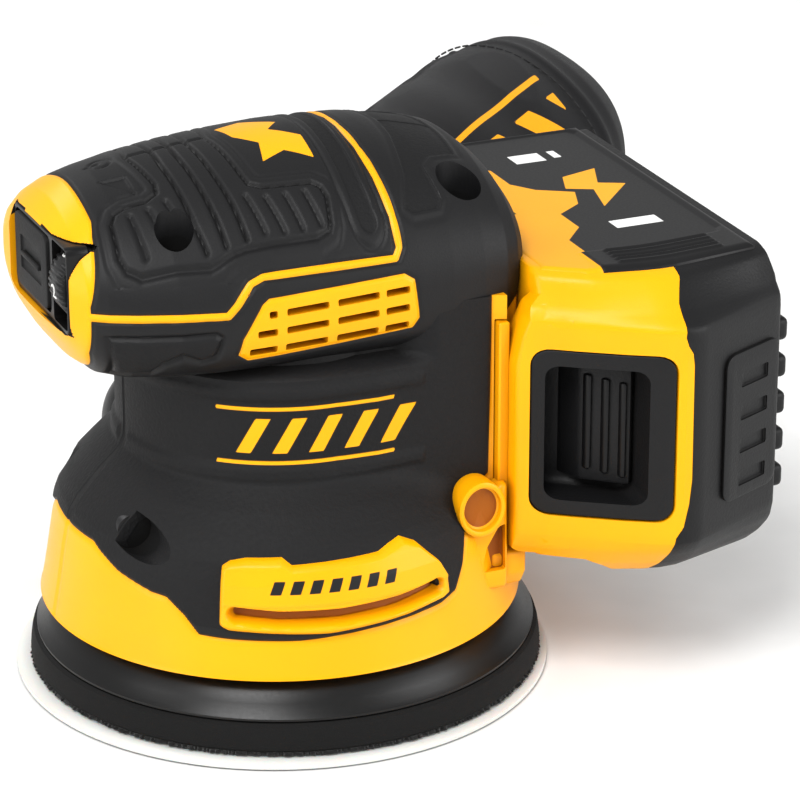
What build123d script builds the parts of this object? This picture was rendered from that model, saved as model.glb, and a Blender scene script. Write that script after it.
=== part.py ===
"""Cordless random orbital sander, in millimetres.

+X points to the rear of the tool, where the battery sits, +Y to its right side and +Z up.
The origin is the motor axis where the abrasive disc meets the work.
"""

from build123d import *
import os

# ---------------------------------------------------------------- driving dimensions
fit_gap = 0.3  # between pieces that only lie side by side
slide_gap = 0.35  # between the battery's rail and the tool
running_gap = 0.03  # radial, between a shaft and what it turns in

# Pad
disc_radius = 63.5
disc_thickness = 0.9
disc_shift = (-1.3, -1.0)  # the disc is stuck on by hand, a little off centre
hook_radius = disc_radius - 2.9
hook_thickness = 1.3
foam_radius = disc_radius - 2.5
foam_thickness = 6.6
plate_radius = disc_radius - 4.1
plate_thickness = 4.0
plate_rim_height = 8.2
plate_rim_top_radius = plate_radius - 6.8
dust_hole_radius = 5.0
dust_hole_circle = 32.5
dust_hole_count = 8
orbit_offset = 1.25
spindle_flange_radius = 16.0
spindle_flange_thickness = 4.0
spindle_radius = 6.0
pad_screw_radius = 2.0
pad_screw_circle = 11.0
pad_screw_count = 4

# Bearings: bore radius, outer radius, width
pad_bearing = (6.0, 14.0, 12.0)
lower_bearing = (4.0, 11.0, 7.0)
upper_bearing = (3.0, 9.5, 6.0)

# Rotating parts
hub_radius = 18.5
hub_wall = 2.5
fan_radius = 41.0
fan_plate = 2.0
fan_blade_height = 5.0
fan_blade_thickness = 1.8
fan_blade_count = 12
rotor_radius = 17.6
air_gap = 0.7
stator_radius = 33.0
stator_height = 20.0
stator_teeth = 9
magnet_thickness = 2.4

# Body: the skirt over the pad, the motor barrel and the handle
skirt_base = 18.2
skirt_radius = disc_radius - 6.3
barrel_radius = 38.2
shoulder_radius = skirt_radius - 4.0
shoulder_height = 45.2
waist_height = 60.0
pad_room_top = 24.4
column_low = 45.0
barrel_top = 86.0
skin = 1.6  # rubber overmould
wall = 2.6  # plastic under it
band_height = 28.2  # top of the bare plastic band round the skirt
front_band_height = 41.0  # the same, across the front
handle_floor = 84.0
handle_split = 106.5
stripe_x = 15.0  # where the bare stripe crosses the handle
badge_rise = 1.0
badge_half_angle = 28.5
badge_middle_angle = 97.0
badge_low = 30.4
badge_high = 46.6

# Battery
battery_width = 75.2
battery_length = 110.0
battery_back = 103.4
battery_low = 28.4
battery_seam = 74.0
battery_wall = 2.2
battery_corner = 7.0
cell_radius = 9.2
cell_length = 65.0
cell_pitch = 18.5
cell_rows = (66.0, 85.0)
battery_depth_end = 102.3
rib_rise = 2.2
scoop_x = (51.3, 70.7)
scoop_z = (49.8, 80.2)
release_height = 41.5
release_depth = 12.6
head_button_front = 43.0
gauge_x = 78.0
terminal_heights = (-14.0, -5.0, 5.0, 14.0)
terminal_half = 17.0
rail_depth = 11.6
rail_width = 50.6
rail_neck = 43.2
rail_neck_depth = 4.6
head_depth = 5.3  # how far the battery's head reaches past its rail face
head_length = 8.0
head_inset = 10.0

# Receiver for the battery, on the back of the body
receiver_face = 46.0
receiver_half_length = battery_length / 2 - 8.4
terminal_y = (receiver_half_length - 28.1, receiver_half_length - 6.6)
receiver_low = 26.0
receiver_high = 103.4

# Dust outlet and bag
port_start = Vector(20.0, skirt_radius + 10.8, 48.5)
port_direction = Vector(0.866, 0.445, 0.228).normalized()
port_radius = 15.5
port_wall = 2.6
port_back = 34.0
port_reach = 16.0
collar_wall = 3.5
collar_length = 26.0
bag_radius = 33.0
bag_length = 132.0
lock_ring_wall = 2.6
lock_ring_width = 10.0

# Nose: power button and speed dial
nose_front = -60.0
nose_joint = -51.0
button_width = 22.0
button_height = 18.0
button_travel = 1.2
button_middle = 1.2
dial_radius = 9.4
dial_width = 9.0
dial_y = -17.2
dial_x = -50.2
dial_axle = 1.5
switch_low = 96.0
switch_high = 118.0
nose_middle = 107.0

# Fasteners
screw_radius = 2.0
screw_head_radius = 3.6
screw_head_height = 2.4
cover_screw_x = (-33.6, 34.5)
cover_screw_y = 25.0
screw_well_radius = 3.9
body_screw_height = 46.2
# x, distance of the head from the middle, length
body_screws = ((13.6 - skirt_radius, 17.0, 34.0), (30.1, receiver_half_length - 6.1, 14.0))
fan_room_radius = fan_radius + 2.0

# ---------------------------------------------------------------- derived heights
hook_base = disc_thickness
foam_base = hook_base + hook_thickness
plate_base = foam_base + foam_thickness
flange_base = plate_base + plate_thickness
spindle_base = flange_base + spindle_flange_thickness
pad_bearing_base = spindle_base + 1.2
pad_bearing_top = pad_bearing_base + pad_bearing[2]
hub_top = pad_bearing_top + hub_wall
fan_base = hub_top - 1.4
fan_top = fan_base + fan_plate + fan_blade_height
lower_bearing_base = fan_top + 4.9
lower_bearing_top = lower_bearing_base + lower_bearing[2]
stator_base = lower_bearing_top + 4.2
stator_top = stator_base + stator_height
upper_bearing_base = stator_top + 8.0
upper_bearing_top = upper_bearing_base + upper_bearing[2]
battery_high = battery_low + battery_width
cell_columns = int((battery_length - battery_wall - release_depth - 1.1) / cell_pitch)
cell_block_half = (cell_columns - 1) / 2 * cell_pitch + cell_radius
cell_shift = battery_length / 2 - battery_wall - 2 * fit_gap - cell_block_half
battery_middle = battery_low + battery_width / 2
battery_face = receiver_face + slide_gap
collar_radius = port_radius + collar_wall
bag_neck_radius = collar_radius

os.makedirs("parts", exist_ok=True)


# ---------------------------------------------------------------- helpers
def save(part, name):
    """Labels a finished piece and writes it as parts/NAME.step."""
    part.label = name
    export_step(part, f"parts/{name}.step")


def tube(low, high, outer, inner=0.0, centre=(0.0, 0.0)):
    """A solid or hollow upright cylinder between two heights."""
    with BuildPart() as body:
        with BuildSketch(Plane.XY.offset(low)):
            with Locations(centre):
                Circle(outer)
                if inner:
                    Circle(inner, mode=Mode.SUBTRACT)
        extrude(amount=high - low)
    return body.part


def block(x, y, z):
    """A box from (low, high) pairs along each axis."""
    with BuildPart() as body:
        with Locations(((x[0] + x[1]) / 2, (y[0] + y[1]) / 2, (z[0] + z[1]) / 2)):
            Box(x[1] - x[0], y[1] - y[0], z[1] - z[0])
    return body.part


def rod(start, direction, length, radius, inner=0.0):
    """A cylinder or tube from a point along a direction."""
    with BuildPart() as body:
        with BuildSketch(Plane(origin=start, z_dir=direction)):
            Circle(radius)
            if inner:
                Circle(inner, mode=Mode.SUBTRACT)
        extrude(amount=length)
    return body.part


def half_space(side):
    """A large box on one side of the middle plane: -1 is the left half, 1 the right."""
    reach = 200.0
    return block((-reach, reach), (0.0, reach) if side > 0 else (-reach, 0.0), (-reach, reach))


# ---------------------------------------------------------------- outer forms
def bell(inset):
    """The skirt, the flare above it and the barrel, turned about the motor axis."""
    with BuildPart() as body:
        with BuildSketch(Plane.XZ):
            with BuildLine():
                Polyline(
                    (0, skirt_base),
                    (skirt_radius - inset, skirt_base),
                    (shoulder_radius - inset, shoulder_height),
                    (barrel_radius - inset, waist_height),
                    (barrel_radius - inset, barrel_top),
                    (0, barrel_top),
                    close=True,
                )
            outline = make_face()
            corners = outline.vertices().filter_by_position(Axis.Y, shoulder_height - 1.0, waist_height + 1.0)
            fillet([corner for corner in corners if corner.Y < waist_height - 1.0], radius=12.0)
        revolve(axis=Axis.Z)
    return body.part


def column(inset):
    """The flanks that carry the receiver, from the barrel back to the battery."""
    half = receiver_half_length - 2.0 - inset
    with BuildPart() as body:
        with BuildSketch(Plane.XY.offset(column_low)):
            with BuildLine():
                Polyline(
                    (-8.0, -barrel_radius + 2.4 + inset),
                    (14.0, -barrel_radius + 0.6 + inset),
                    (31.0, -half),
                    (receiver_face - 6.0, -half),
                    (receiver_face - 6.0, half),
                    (31.0, half),
                    (14.0, barrel_radius - 0.6 - inset),
                    (-8.0, barrel_radius - 2.4 - inset),
                    close=True,
                )
            make_face()
        extrude(amount=handle_floor + 12.0 - column_low)
    return body.part


handle_side = (
    (nose_front, 94.0),
    (nose_front, 117.5),
    (nose_joint, 125.6),
    (-36.0, 130.0),
    (-12.0, 132.4),
    (12.0, 132.2),
    (30.0, 129.2),
    (42.0, 124.6),
    (49.0, 118.0),
    (50.5, 100.0),
    (46.0, handle_floor),
    (nose_joint, handle_floor),
)
handle_plan = (
    (nose_front, 24.0),
    (nose_front + 5.0, 27.4),
    (nose_joint, 29.6),
    (-34.0, 34.6),
    (-12.0, 38.4),
    (30.0, 38.4),
    (44.0, 36.0),
    (50.5, 30.0),
)
handle_section = ((36.4, handle_floor), (38.6, 96.0), (38.4, 108.0), (31.0, 122.0), (15.0, 131.2), (0.0, 133.2))


def handle(inset, low=0.0):
    """The handle: its side view, its plan and its cross-section, all drawn in by the inset."""
    reach = 60.0
    floor = handle_floor + inset
    side_points = [(x, z) for x, z in handle_side]
    plan_points = [(x, -y) for x, y in handle_plan] + [(x, y) for x, y in reversed(handle_plan)]
    section_points = [(y, z) for y, z in handle_section]
    section_points += [(-y, z) for y, z in reversed(handle_section) if y > 0]
    with BuildPart() as body:
        with BuildSketch(Plane.XZ):
            with BuildLine():
                Polyline(*side_points, close=True)
            make_face()
            if inset:
                offset(amount=-inset, kind=Kind.INTERSECTION, mode=Mode.REPLACE)
        extrude(amount=reach, both=True)
        with BuildSketch(Plane.XY):
            with BuildLine():
                Polyline(*plan_points, close=True)
            make_face()
            if inset:
                offset(amount=-inset, kind=Kind.INTERSECTION, mode=Mode.REPLACE)
        extrude(amount=160.0, mode=Mode.INTERSECT)
        with BuildSketch(Plane.YZ):
            with BuildLine():
                Polyline(*section_points, close=True)
            make_face()
            if inset:
                offset(amount=-inset, kind=Kind.INTERSECTION, mode=Mode.REPLACE)
        extrude(amount=90.0, both=True, mode=Mode.INTERSECT)
        if low:
            split(bisect_by=Plane.XY.offset(low), keep=Keep.TOP)
    return body.part


def body_screw_wells(radius, end):
    """Round wells along Y from each body screw's head outwards, on both sides."""
    wells = []
    for x, head, _ in body_screws:
        for side in (-1, 1):
            wells.append(rod((x, head * side, body_screw_height), (0, side, 0), end, radius))
    return wells


def body_screw_shafts(radius):
    """The shafts of the body screws, from under each head inwards."""
    shafts = []
    for x, head, length in body_screws:
        for side in (-1, 1):
            if head < length and side > 0:
                continue
            shafts.append(rod((x, head * side, body_screw_height), (0, -side, 0), length, radius))
    return shafts


def cover_screw_rods(radius, low, high):
    """Upright cylinders at the four cover screws."""
    rods = []
    for x in cover_screw_x:
        for y in (-cover_screw_y, cover_screw_y):
            rods.append(tube(low, high, radius, centre=(x, y)))
    return rods


# ---------------------------------------------------------------- pad
def pad_hole_cutter(low, high):
    """The eight dust holes, round the pad's own axis."""
    with BuildPart() as holes:
        with BuildSketch(Plane.XY.offset(low)):
            with Locations((orbit_offset, 0)):
                with PolarLocations(dust_hole_circle, dust_hole_count, start_angle=22.5):
                    Circle(dust_hole_radius)
        extrude(amount=high - low)
    return holes.part


def make_pad():
    """Everything that turns on the pad's own axis, one orbit offset from the motor's."""
    axis = (orbit_offset, 0.0)
    holes = pad_hole_cutter(-1.0, flange_base + 1.0)
    screw_places = PolarLocations(pad_screw_circle, pad_screw_count)

    with BuildPart() as abrasive_disc:
        with BuildSketch():
            with Locations((orbit_offset + disc_shift[0], disc_shift[1])):
                Circle(disc_radius)
        extrude(amount=disc_thickness)
        add(holes, mode=Mode.SUBTRACT)
    save(abrasive_disc.part, "abrasive_disc")

    with BuildPart() as hook_face:
        with BuildSketch(Plane.XY.offset(hook_base)):
            with Locations(axis):
                Circle(hook_radius)
        extrude(amount=hook_thickness)
        add(holes, mode=Mode.SUBTRACT)
    save(hook_face.part, "hook_face")

    with BuildPart() as foam_pad:
        with BuildSketch(Plane.XY.offset(foam_base)):
            with Locations(axis):
                Circle(foam_radius)
        extrude(amount=foam_thickness)
        fillet(foam_pad.edges().group_by(Axis.Z)[-1], radius=0.8)
        add(holes, mode=Mode.SUBTRACT)
        with BuildSketch(Plane.XY.offset(plate_base)):
            with Locations(axis):
                Circle(spindle_flange_radius + 1.0)
        extrude(amount=-foam_thickness + 2.0, mode=Mode.SUBTRACT)
    save(foam_pad.part, "foam_pad")

    with BuildPart() as backing_plate:
        with BuildSketch(Plane.XZ):
            with BuildLine():
                Polyline(
                    (0, plate_base),
                    (plate_radius, plate_base),
                    (plate_radius, plate_base + 1.0),
                    (plate_rim_top_radius, plate_base + plate_rim_height),
                    (plate_rim_top_radius - 2.0, plate_base + plate_rim_height),
                    (plate_rim_top_radius - 6.0, plate_base + plate_thickness),
                    (0, plate_base + plate_thickness),
                    close=True,
                )
            make_face()
        revolve(axis=Axis.Z)
    with BuildPart() as drilled_plate:
        with Locations(axis):
            add(backing_plate.part)
        add(holes, mode=Mode.SUBTRACT)
        with BuildSketch(Plane.XY.offset(plate_base)):
            with Locations(axis):
                with screw_places:
                    Circle(pad_screw_radius + fit_gap)
        extrude(amount=plate_thickness, mode=Mode.SUBTRACT)
    save(drilled_plate.part, "backing_plate")

    with BuildPart() as pad_spindle:
        with BuildSketch(Plane.XY.offset(flange_base)):
            with Locations(axis):
                Circle(spindle_flange_radius)
        extrude(amount=spindle_flange_thickness)
        with BuildSketch(Plane.XY.offset(spindle_base)):
            with Locations(axis):
                Circle(spindle_radius - running_gap)
        extrude(amount=pad_bearing_top - spindle_base)
        with BuildSketch(Plane.XY.offset(flange_base)):
            with Locations(axis):
                with screw_places:
                    Circle(pad_screw_radius)
        extrude(amount=spindle_flange_thickness, mode=Mode.SUBTRACT)
    save(pad_spindle.part, "pad_spindle")

    with BuildPart() as pad_screws:
        with BuildSketch(Plane.XY.offset(plate_base - screw_head_height)):
            with Locations(axis):
                with screw_places:
                    Circle(screw_head_radius)
        extrude(amount=screw_head_height)
        with BuildSketch(Plane.XY.offset(plate_base)):
            with Locations(axis):
                with screw_places:
                    Circle(pad_screw_radius)
        extrude(amount=plate_thickness + spindle_flange_thickness)
    save(pad_screws.part, "pad_screws")


# ---------------------------------------------------------------- rotating parts
def make_bearing(name, sizes, low, centre=(0.0, 0.0), gap=0.0):
    """A sealed ball bearing: two races and the shield between them, as one solid."""
    bore, outer, width = sizes
    bore = bore + gap
    race = (outer - bore) * 0.28
    with BuildPart() as bearing:
        with BuildSketch(Plane.XY.offset(low)):
            with Locations(centre):
                Circle(outer)
                Circle(bore, mode=Mode.SUBTRACT)
        extrude(amount=width)
        for height, way in ((low, 1), (low + width, -1)):
            with BuildSketch(Plane.XY.offset(height)):
                with Locations(centre):
                    Circle(outer - race)
                    Circle(bore + race, mode=Mode.SUBTRACT)
            extrude(amount=0.6 * way, mode=Mode.SUBTRACT)
    save(bearing.part, name)


def make_rotor():
    """Shaft, rotor, fan and the eccentric hub that carries the pad's bearing."""
    shaft_top = upper_bearing_top + 1.0
    with BuildPart() as shaft:
        with BuildSketch(Plane.XY.offset(pad_bearing_top)):
            Circle(lower_bearing[0])
        extrude(amount=upper_bearing_base - pad_bearing_top - 1.0)
        with BuildSketch(Plane.XY.offset(upper_bearing_base - 1.0)):
            Circle(upper_bearing[0])
        extrude(amount=shaft_top - upper_bearing_base + 1.0)
    save(shaft.part, "motor_shaft")

    with BuildPart() as hub:
        with BuildSketch(Plane.XY.offset(pad_bearing_base)):
            Circle(hub_radius)
            with Locations((orbit_offset, 0)):
                Circle(pad_bearing[1], mode=Mode.SUBTRACT)
        extrude(amount=pad_bearing[2])
        with BuildSketch(Plane.XY.offset(pad_bearing_top)):
            Circle(hub_radius)
            Circle(lower_bearing[0], mode=Mode.SUBTRACT)
        extrude(amount=hub_wall)
        with BuildSketch(Plane.XY.offset(hub_top)):
            Circle(lower_bearing[0] + 5.0)
            Circle(lower_bearing[0], mode=Mode.SUBTRACT)
        extrude(amount=6.0)
    save(hub.part, "eccentric_hub")

    with BuildPart() as fan:
        with BuildSketch(Plane.XY.offset(fan_base)):
            Circle(fan_radius)
            Circle(hub_radius, mode=Mode.SUBTRACT)
        extrude(amount=fan_plate)
        blade_inner = hub_radius + 2.0
        blade_length = fan_radius - blade_inner - 1.0
        with BuildSketch(Plane.XY.offset(fan_base + fan_plate)):
            with PolarLocations(blade_inner + blade_length / 2, fan_blade_count):
                with Locations(Location((0, 0, 0), (0, 0, 24))):
                    Rectangle(blade_length * 0.96, fan_blade_thickness)
        extrude(amount=fan_blade_height)
    save(fan.part, "fan")

    with BuildPart() as weight:
        with BuildSketch(Plane.XY.offset(fan_base)):
            with BuildLine():
                outer = CenterArc((0, 0), fan_radius - 14.0, 125, 110)
                inner = CenterArc((0, 0), hub_radius + fit_gap, 125, 110)
                Line(outer @ 0, inner @ 0)
                Line(outer @ 1, inner @ 1)
            make_face()
        extrude(amount=-5.0)
    save(weight.part, "counterweight")

    with BuildPart() as core:
        with BuildSketch(Plane.XY.offset(stator_base - 1.0)):
            Circle(rotor_radius - magnet_thickness)
            Circle(lower_bearing[0], mode=Mode.SUBTRACT)
        extrude(amount=stator_height + 2.0)
    save(core.part, "rotor_core")

    with BuildPart() as magnets:
        with BuildSketch(Plane.XY.offset(stator_base)):
            Circle(rotor_radius)
            Circle(rotor_radius - magnet_thickness, mode=Mode.SUBTRACT)
            with PolarLocations(rotor_radius - 1.0, 6):
                Rectangle(8.0, 1.2, mode=Mode.SUBTRACT)
        extrude(amount=stator_height)
    save(magnets.part, "rotor_magnets")


# ---------------------------------------------------------------- motor, fixed parts
def make_motor():
    """Stator, windings and the two plates that hold the motor bearings."""
    bore = rotor_radius + air_gap
    tooth = 6.0
    yoke = 5.0
    slot_outer = stator_radius - yoke
    with BuildPart() as stator:
        with BuildSketch(Plane.XY.offset(stator_base)):
            Circle(stator_radius)
            Circle(slot_outer, mode=Mode.SUBTRACT)
            with PolarLocations((bore + slot_outer) / 2 + 0.3, stator_teeth):
                Rectangle(slot_outer - bore + 0.6, tooth)
            Circle(bore, mode=Mode.SUBTRACT)
        extrude(amount=stator_height)
    save(stator.part, "stator")

    coil_length = slot_outer - bore - 3.0
    with BuildPart() as coils:
        with BuildSketch(Plane.XY.offset(stator_base - 2.6)):
            with PolarLocations((bore + slot_outer) / 2, stator_teeth):
                Rectangle(coil_length, tooth + 2.6)
        extrude(amount=stator_height + 5.2)
        with BuildSketch(Plane.XY.offset(stator_base)):
            with PolarLocations((bore + slot_outer) / 2, stator_teeth):
                Rectangle(coil_length, tooth)
        extrude(amount=stator_height, mode=Mode.SUBTRACT)
    save(coils.part, "windings")

    def bearing_plate(name, low, sizes, plate_low):
        boss = sizes[1] + 3.0
        with BuildPart() as plate:
            with BuildSketch(Plane.XY.offset(plate_low)):
                Circle(stator_radius)
                Circle(sizes[0] + 3.0, mode=Mode.SUBTRACT)
                with PolarLocations(stator_radius - 7.0, 6):
                    Circle(3.2, mode=Mode.SUBTRACT)
            extrude(amount=2.4)
            with BuildSketch(Plane.XY.offset(min(low, plate_low))):
                Circle(boss)
                Circle(sizes[1], mode=Mode.SUBTRACT)
            extrude(amount=max(low + sizes[2], plate_low + 2.4) - min(low, plate_low))
            with BuildSketch(Plane.XY.offset(low)):
                Circle(sizes[1])
            extrude(amount=sizes[2], mode=Mode.SUBTRACT)
        save(plate.part, name)

    bearing_plate("lower_bearing_plate", lower_bearing_base, lower_bearing, lower_bearing_base)
    bearing_plate("upper_bearing_plate", upper_bearing_base, upper_bearing, upper_bearing_top)


# ---------------------------------------------------------------- housings
vent_outline = (
    (-24.2, 93.2),
    (-18.0, 104.4),
    (17.2, 105.4),
    (19.4, 103.6),
    (19.4, 94.6),
    (17.0, 92.4),
    (-22.0, 90.8),
)
vent_rows = (93.4, 97.2, 101.0)
vent_columns = (-15.0, -6.4, 2.2, 10.8)


def vent_prism(side):
    """The outline of the side vent, carried out through the handle's flank."""
    with BuildPart() as prism:
        with BuildSketch(Plane.XZ.offset(-28.0 * side)):
            with BuildLine():
                Polyline(*vent_outline, close=True)
            make_face()
        extrude(amount=-40.0 * side)
    return prism.part


def badge_wedge(side):
    """The sector of the skirt that the scoop badge covers."""
    middle = badge_middle_angle * side
    with BuildPart() as wedge:
        with BuildSketch(Plane.XY.offset(badge_low)):
            with BuildLine():
                far = CenterArc((0, 0), 80.0, middle - badge_half_angle, 2 * badge_half_angle)
                near = CenterArc((0, 0), 40.0, middle - badge_half_angle, 2 * badge_half_angle)
                Line(far @ 0, near @ 0)
                Line(far @ 1, near @ 1)
            make_face()
        extrude(amount=badge_high - badge_low)
    return wedge.part


def make_room():
    """The space inside the body: fan chamber below, motor bore above it."""
    ceiling = fan_top + 1.6
    bore = stator_radius + fit_gap
    with BuildPart() as room:
        with BuildSketch(Plane.XZ):
            with BuildLine():
                Polyline(
                    (0, skirt_base - 1.0),
                    (skirt_radius - skin - wall, skirt_base - 1.0),
                    (skirt_radius - skin - wall - 0.4, pad_room_top),
                    (fan_room_radius, pad_room_top + 1.0),
                    (fan_room_radius, ceiling),
                    (bore, ceiling),
                    (bore, upper_bearing_top + 3.0),
                    (0, upper_bearing_top + 3.0),
                    close=True,
                )
            make_face()
        revolve(axis=Axis.Z)
    return room.part


def make_slot():
    """The T-shaped slot that the battery's rail slides into, open towards -Y."""
    stop = receiver_half_length - 4.0
    deep = receiver_face - rail_depth - slide_gap
    neck_face = receiver_face - rail_neck_depth + slide_gap
    head_half = rail_width / 2 + slide_gap
    neck_half = rail_neck / 2 + slide_gap
    open_end = -receiver_half_length - 14.0
    head = block((deep, neck_face), (open_end, stop), (battery_middle - head_half, battery_middle + head_half))
    neck = block(
        (neck_face - 1.0, receiver_face + 1.0),
        (open_end, stop),
        (battery_middle - neck_half, battery_middle + neck_half),
    )
    return head + neck


def port_form(radius, reach):
    """A round-ended rod along the dust outlet, from inside the skirt out to its reach."""
    start = port_start - port_direction * port_back
    with BuildPart() as form:
        with Locations(start):
            Sphere(radius)
    return form.part + rod(start, port_direction, port_back + reach, radius)


def make_housings():
    """The two body halves, their rubber overmoulds, and the handle cover with its own."""
    receiver = block(
        (receiver_face - 12.0, receiver_face),
        (-receiver_half_length, receiver_half_length),
        (receiver_low, receiver_high),
    )
    slot = make_slot()
    slot_floor = receiver_face - rail_depth - slide_gap
    port_hole = port_form(port_radius + fit_gap, 20.0)
    handle_skin = handle(skin)
    handle_full = handle(0.0)
    room = make_room()
    handle_room = handle(skin + wall, barrel_top + 1.4) & block((nose_joint, 28.0), (-60, 60), (0, 160))
    column_room = block((20.0, slot_floor - 3.0), (-32.0, 32.0), (54.0, 96.0))
    terminal_room = block(
        (slot_floor - 5.6, slot_floor + 0.2),
        (terminal_y[0] - fit_gap, terminal_y[1] + fit_gap),
        (battery_middle - terminal_half - fit_gap, battery_middle + terminal_half + fit_gap),
    )
    bay = block((receiver_face, 140.0), (-90.0, 90.0), (battery_low - 1.2, 160.0))
    head_end = -battery_length / 2 + head_length + fit_gap
    head_low = battery_low + head_inset - fit_gap
    head_room = block((battery_face - head_depth - fit_gap, 140.0), (-120.0, head_end), (head_low, 160.0))
    bay = bay + head_room
    nose = block((-90.0, nose_joint), (-90.0, 90.0), (0.0, 160.0))
    below_split = block((-90.0, 90.0), (-90.0, 90.0), (0.0, handle_split))
    above_split = block((-90.0, 90.0), (-90.0, 90.0), (handle_split, 160.0))
    band_room = tube(0.0, band_height, 90.0)
    band = tube(skirt_base, band_height, skirt_radius) & bell(0.0)
    front_band = bell(0.0) & block((-90.0, -40.0), (-90.0, 90.0), (band_height, front_band_height))

    core = bell(skin) + [column(skin), handle_skin & below_split, receiver, band, front_band]
    bosses = cover_screw_rods(screw_well_radius + 1.2, handle_floor + 2.0, handle_split)[:2]
    shell = core - [bay, nose, room, handle_room, column_room, terminal_room, slot, port_hole]
    shell = shell + bosses
    shell = shell - body_screw_wells(screw_well_radius, 60.0)
    shell = shell - cover_screw_rods(screw_radius, 93.0, 140.0)
    shell = shell - body_screw_shafts(screw_radius)
    for side, name in ((-1, "left"), (1, "right")):
        half = (shell & half_space(side)) - vent_prism(side)
        solids = sorted(half.solids(), key=lambda s: s.volume)
        save(Part() + solids[-1], f"body_{name}")

    rubber_form = bell(0.0) + [column(0.0), handle_full & block((-90, 90), (-90, 90), (0, handle_split - 1.5))]
    rubber = rubber_form - [core, bay, nose, band_room, port_hole, room, handle_room]
    rubber = rubber - body_screw_wells(screw_well_radius, 60.0)
    rubber = rubber - body_screw_shafts(screw_radius)
    rubber = rubber - block((-90.0, -40.0), (-90.0, 90.0), (0.0, front_band_height))
    for side, name in ((-1, "left"), (1, "right")):
        half = (rubber & half_space(side)) - vent_prism(side)
        if side < 0:
            half = half - badge_wedge(side)
        solids = sorted(half.solids(), key=lambda s: s.volume)
        save(Part() + solids[-1], f"overmould_{name}")

        slats = [
            block((x - 3.6, x + 3.6), (28.0, 70.0) if side > 0 else (-70.0, -28.0), (z - 1.2, z + 1.2))
            for x in vent_columns
            for z in vent_rows
        ]
        grille = ((handle_full - handle(skin + wall)) & vent_prism(side)) - slats
        save(Part() + sorted(grille.solids(), key=lambda s: s.volume)[-1], f"vent_grille_{name}")

    badge = (bell(-badge_rise) - bell(skin)) & badge_wedge(-1)
    badge = badge - block((-26.0, 14.0), (-90.0, 0.0), (badge_low + 2.2, badge_low + 5.6))
    save(Part() + sorted(badge.solids(), key=lambda s: s.volume)[-1], "scoop_badge")

    cover = (handle_skin & above_split) - [handle_room, nose, bay]
    posts = cover_screw_rods(screw_well_radius + 1.2, handle_split, handle_split + 12.0)
    cover = cover + [post & handle_skin for post in posts]
    cover = cover - cover_screw_rods(screw_radius, 93.0, 140.0)
    cover = cover - cover_screw_rods(screw_well_radius, handle_split + 4.0, 140.0)
    save(cover, "handle_cover")

    rubber = (handle_full - [handle_skin, nose]) & block((-90, 90), (-90, 90), (handle_split + 1.5, 160.0))
    rubber = rubber - cover_screw_rods(screw_well_radius, handle_split, 140.0)
    front = rubber & block((nose_joint, stripe_x - 0.9), (-90, 90), (0, 160))
    rear = rubber & block((stripe_x + 0.9, 90.0), (-90, 90), (0, 160))
    rear = rear - block((receiver_face + 0.3, 90.0), (-90, 90), (0, battery_high + 2.0))
    save(Part() + sorted(front.solids(), key=lambda s: s.volume)[-1], "grip_front")
    save(Part() + sorted(rear.solids(), key=lambda s: s.volume)[-1], "grip_rear")

    switch_room = block((nose_front - 5.0, nose_joint + 1.0), (dial_y - 5.6, 14.6), (switch_low, switch_high))
    cap = (handle_full & nose) - [handle(wall) & block((nose_front + wall, 0), (-60, 60), (0, 160))]
    cap = cap - switch_room
    save(cap, "nose_cap")

    bezel = block(
        (nose_front + 2.2, nose_front + 5.4),
        (dial_y - 5.6 + fit_gap, 14.6 - fit_gap),
        (switch_low + fit_gap, switch_high - fit_gap),
    )
    bezel = bezel - block(
        (nose_front - 5.0, 0.0),
        (button_middle - button_width / 2 - fit_gap, button_middle + button_width / 2 + fit_gap),
        (nose_middle - button_height / 2 - fit_gap, nose_middle + button_height / 2 + fit_gap),
    )
    bezel = bezel - block(
        (nose_front - 5.0, 0.0),
        (dial_y - dial_width / 2 - fit_gap, dial_y + dial_width / 2 + fit_gap),
        (nose_middle - dial_radius - fit_gap, nose_middle + dial_radius + fit_gap),
    )
    save(bezel, "switch_bezel")


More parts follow.
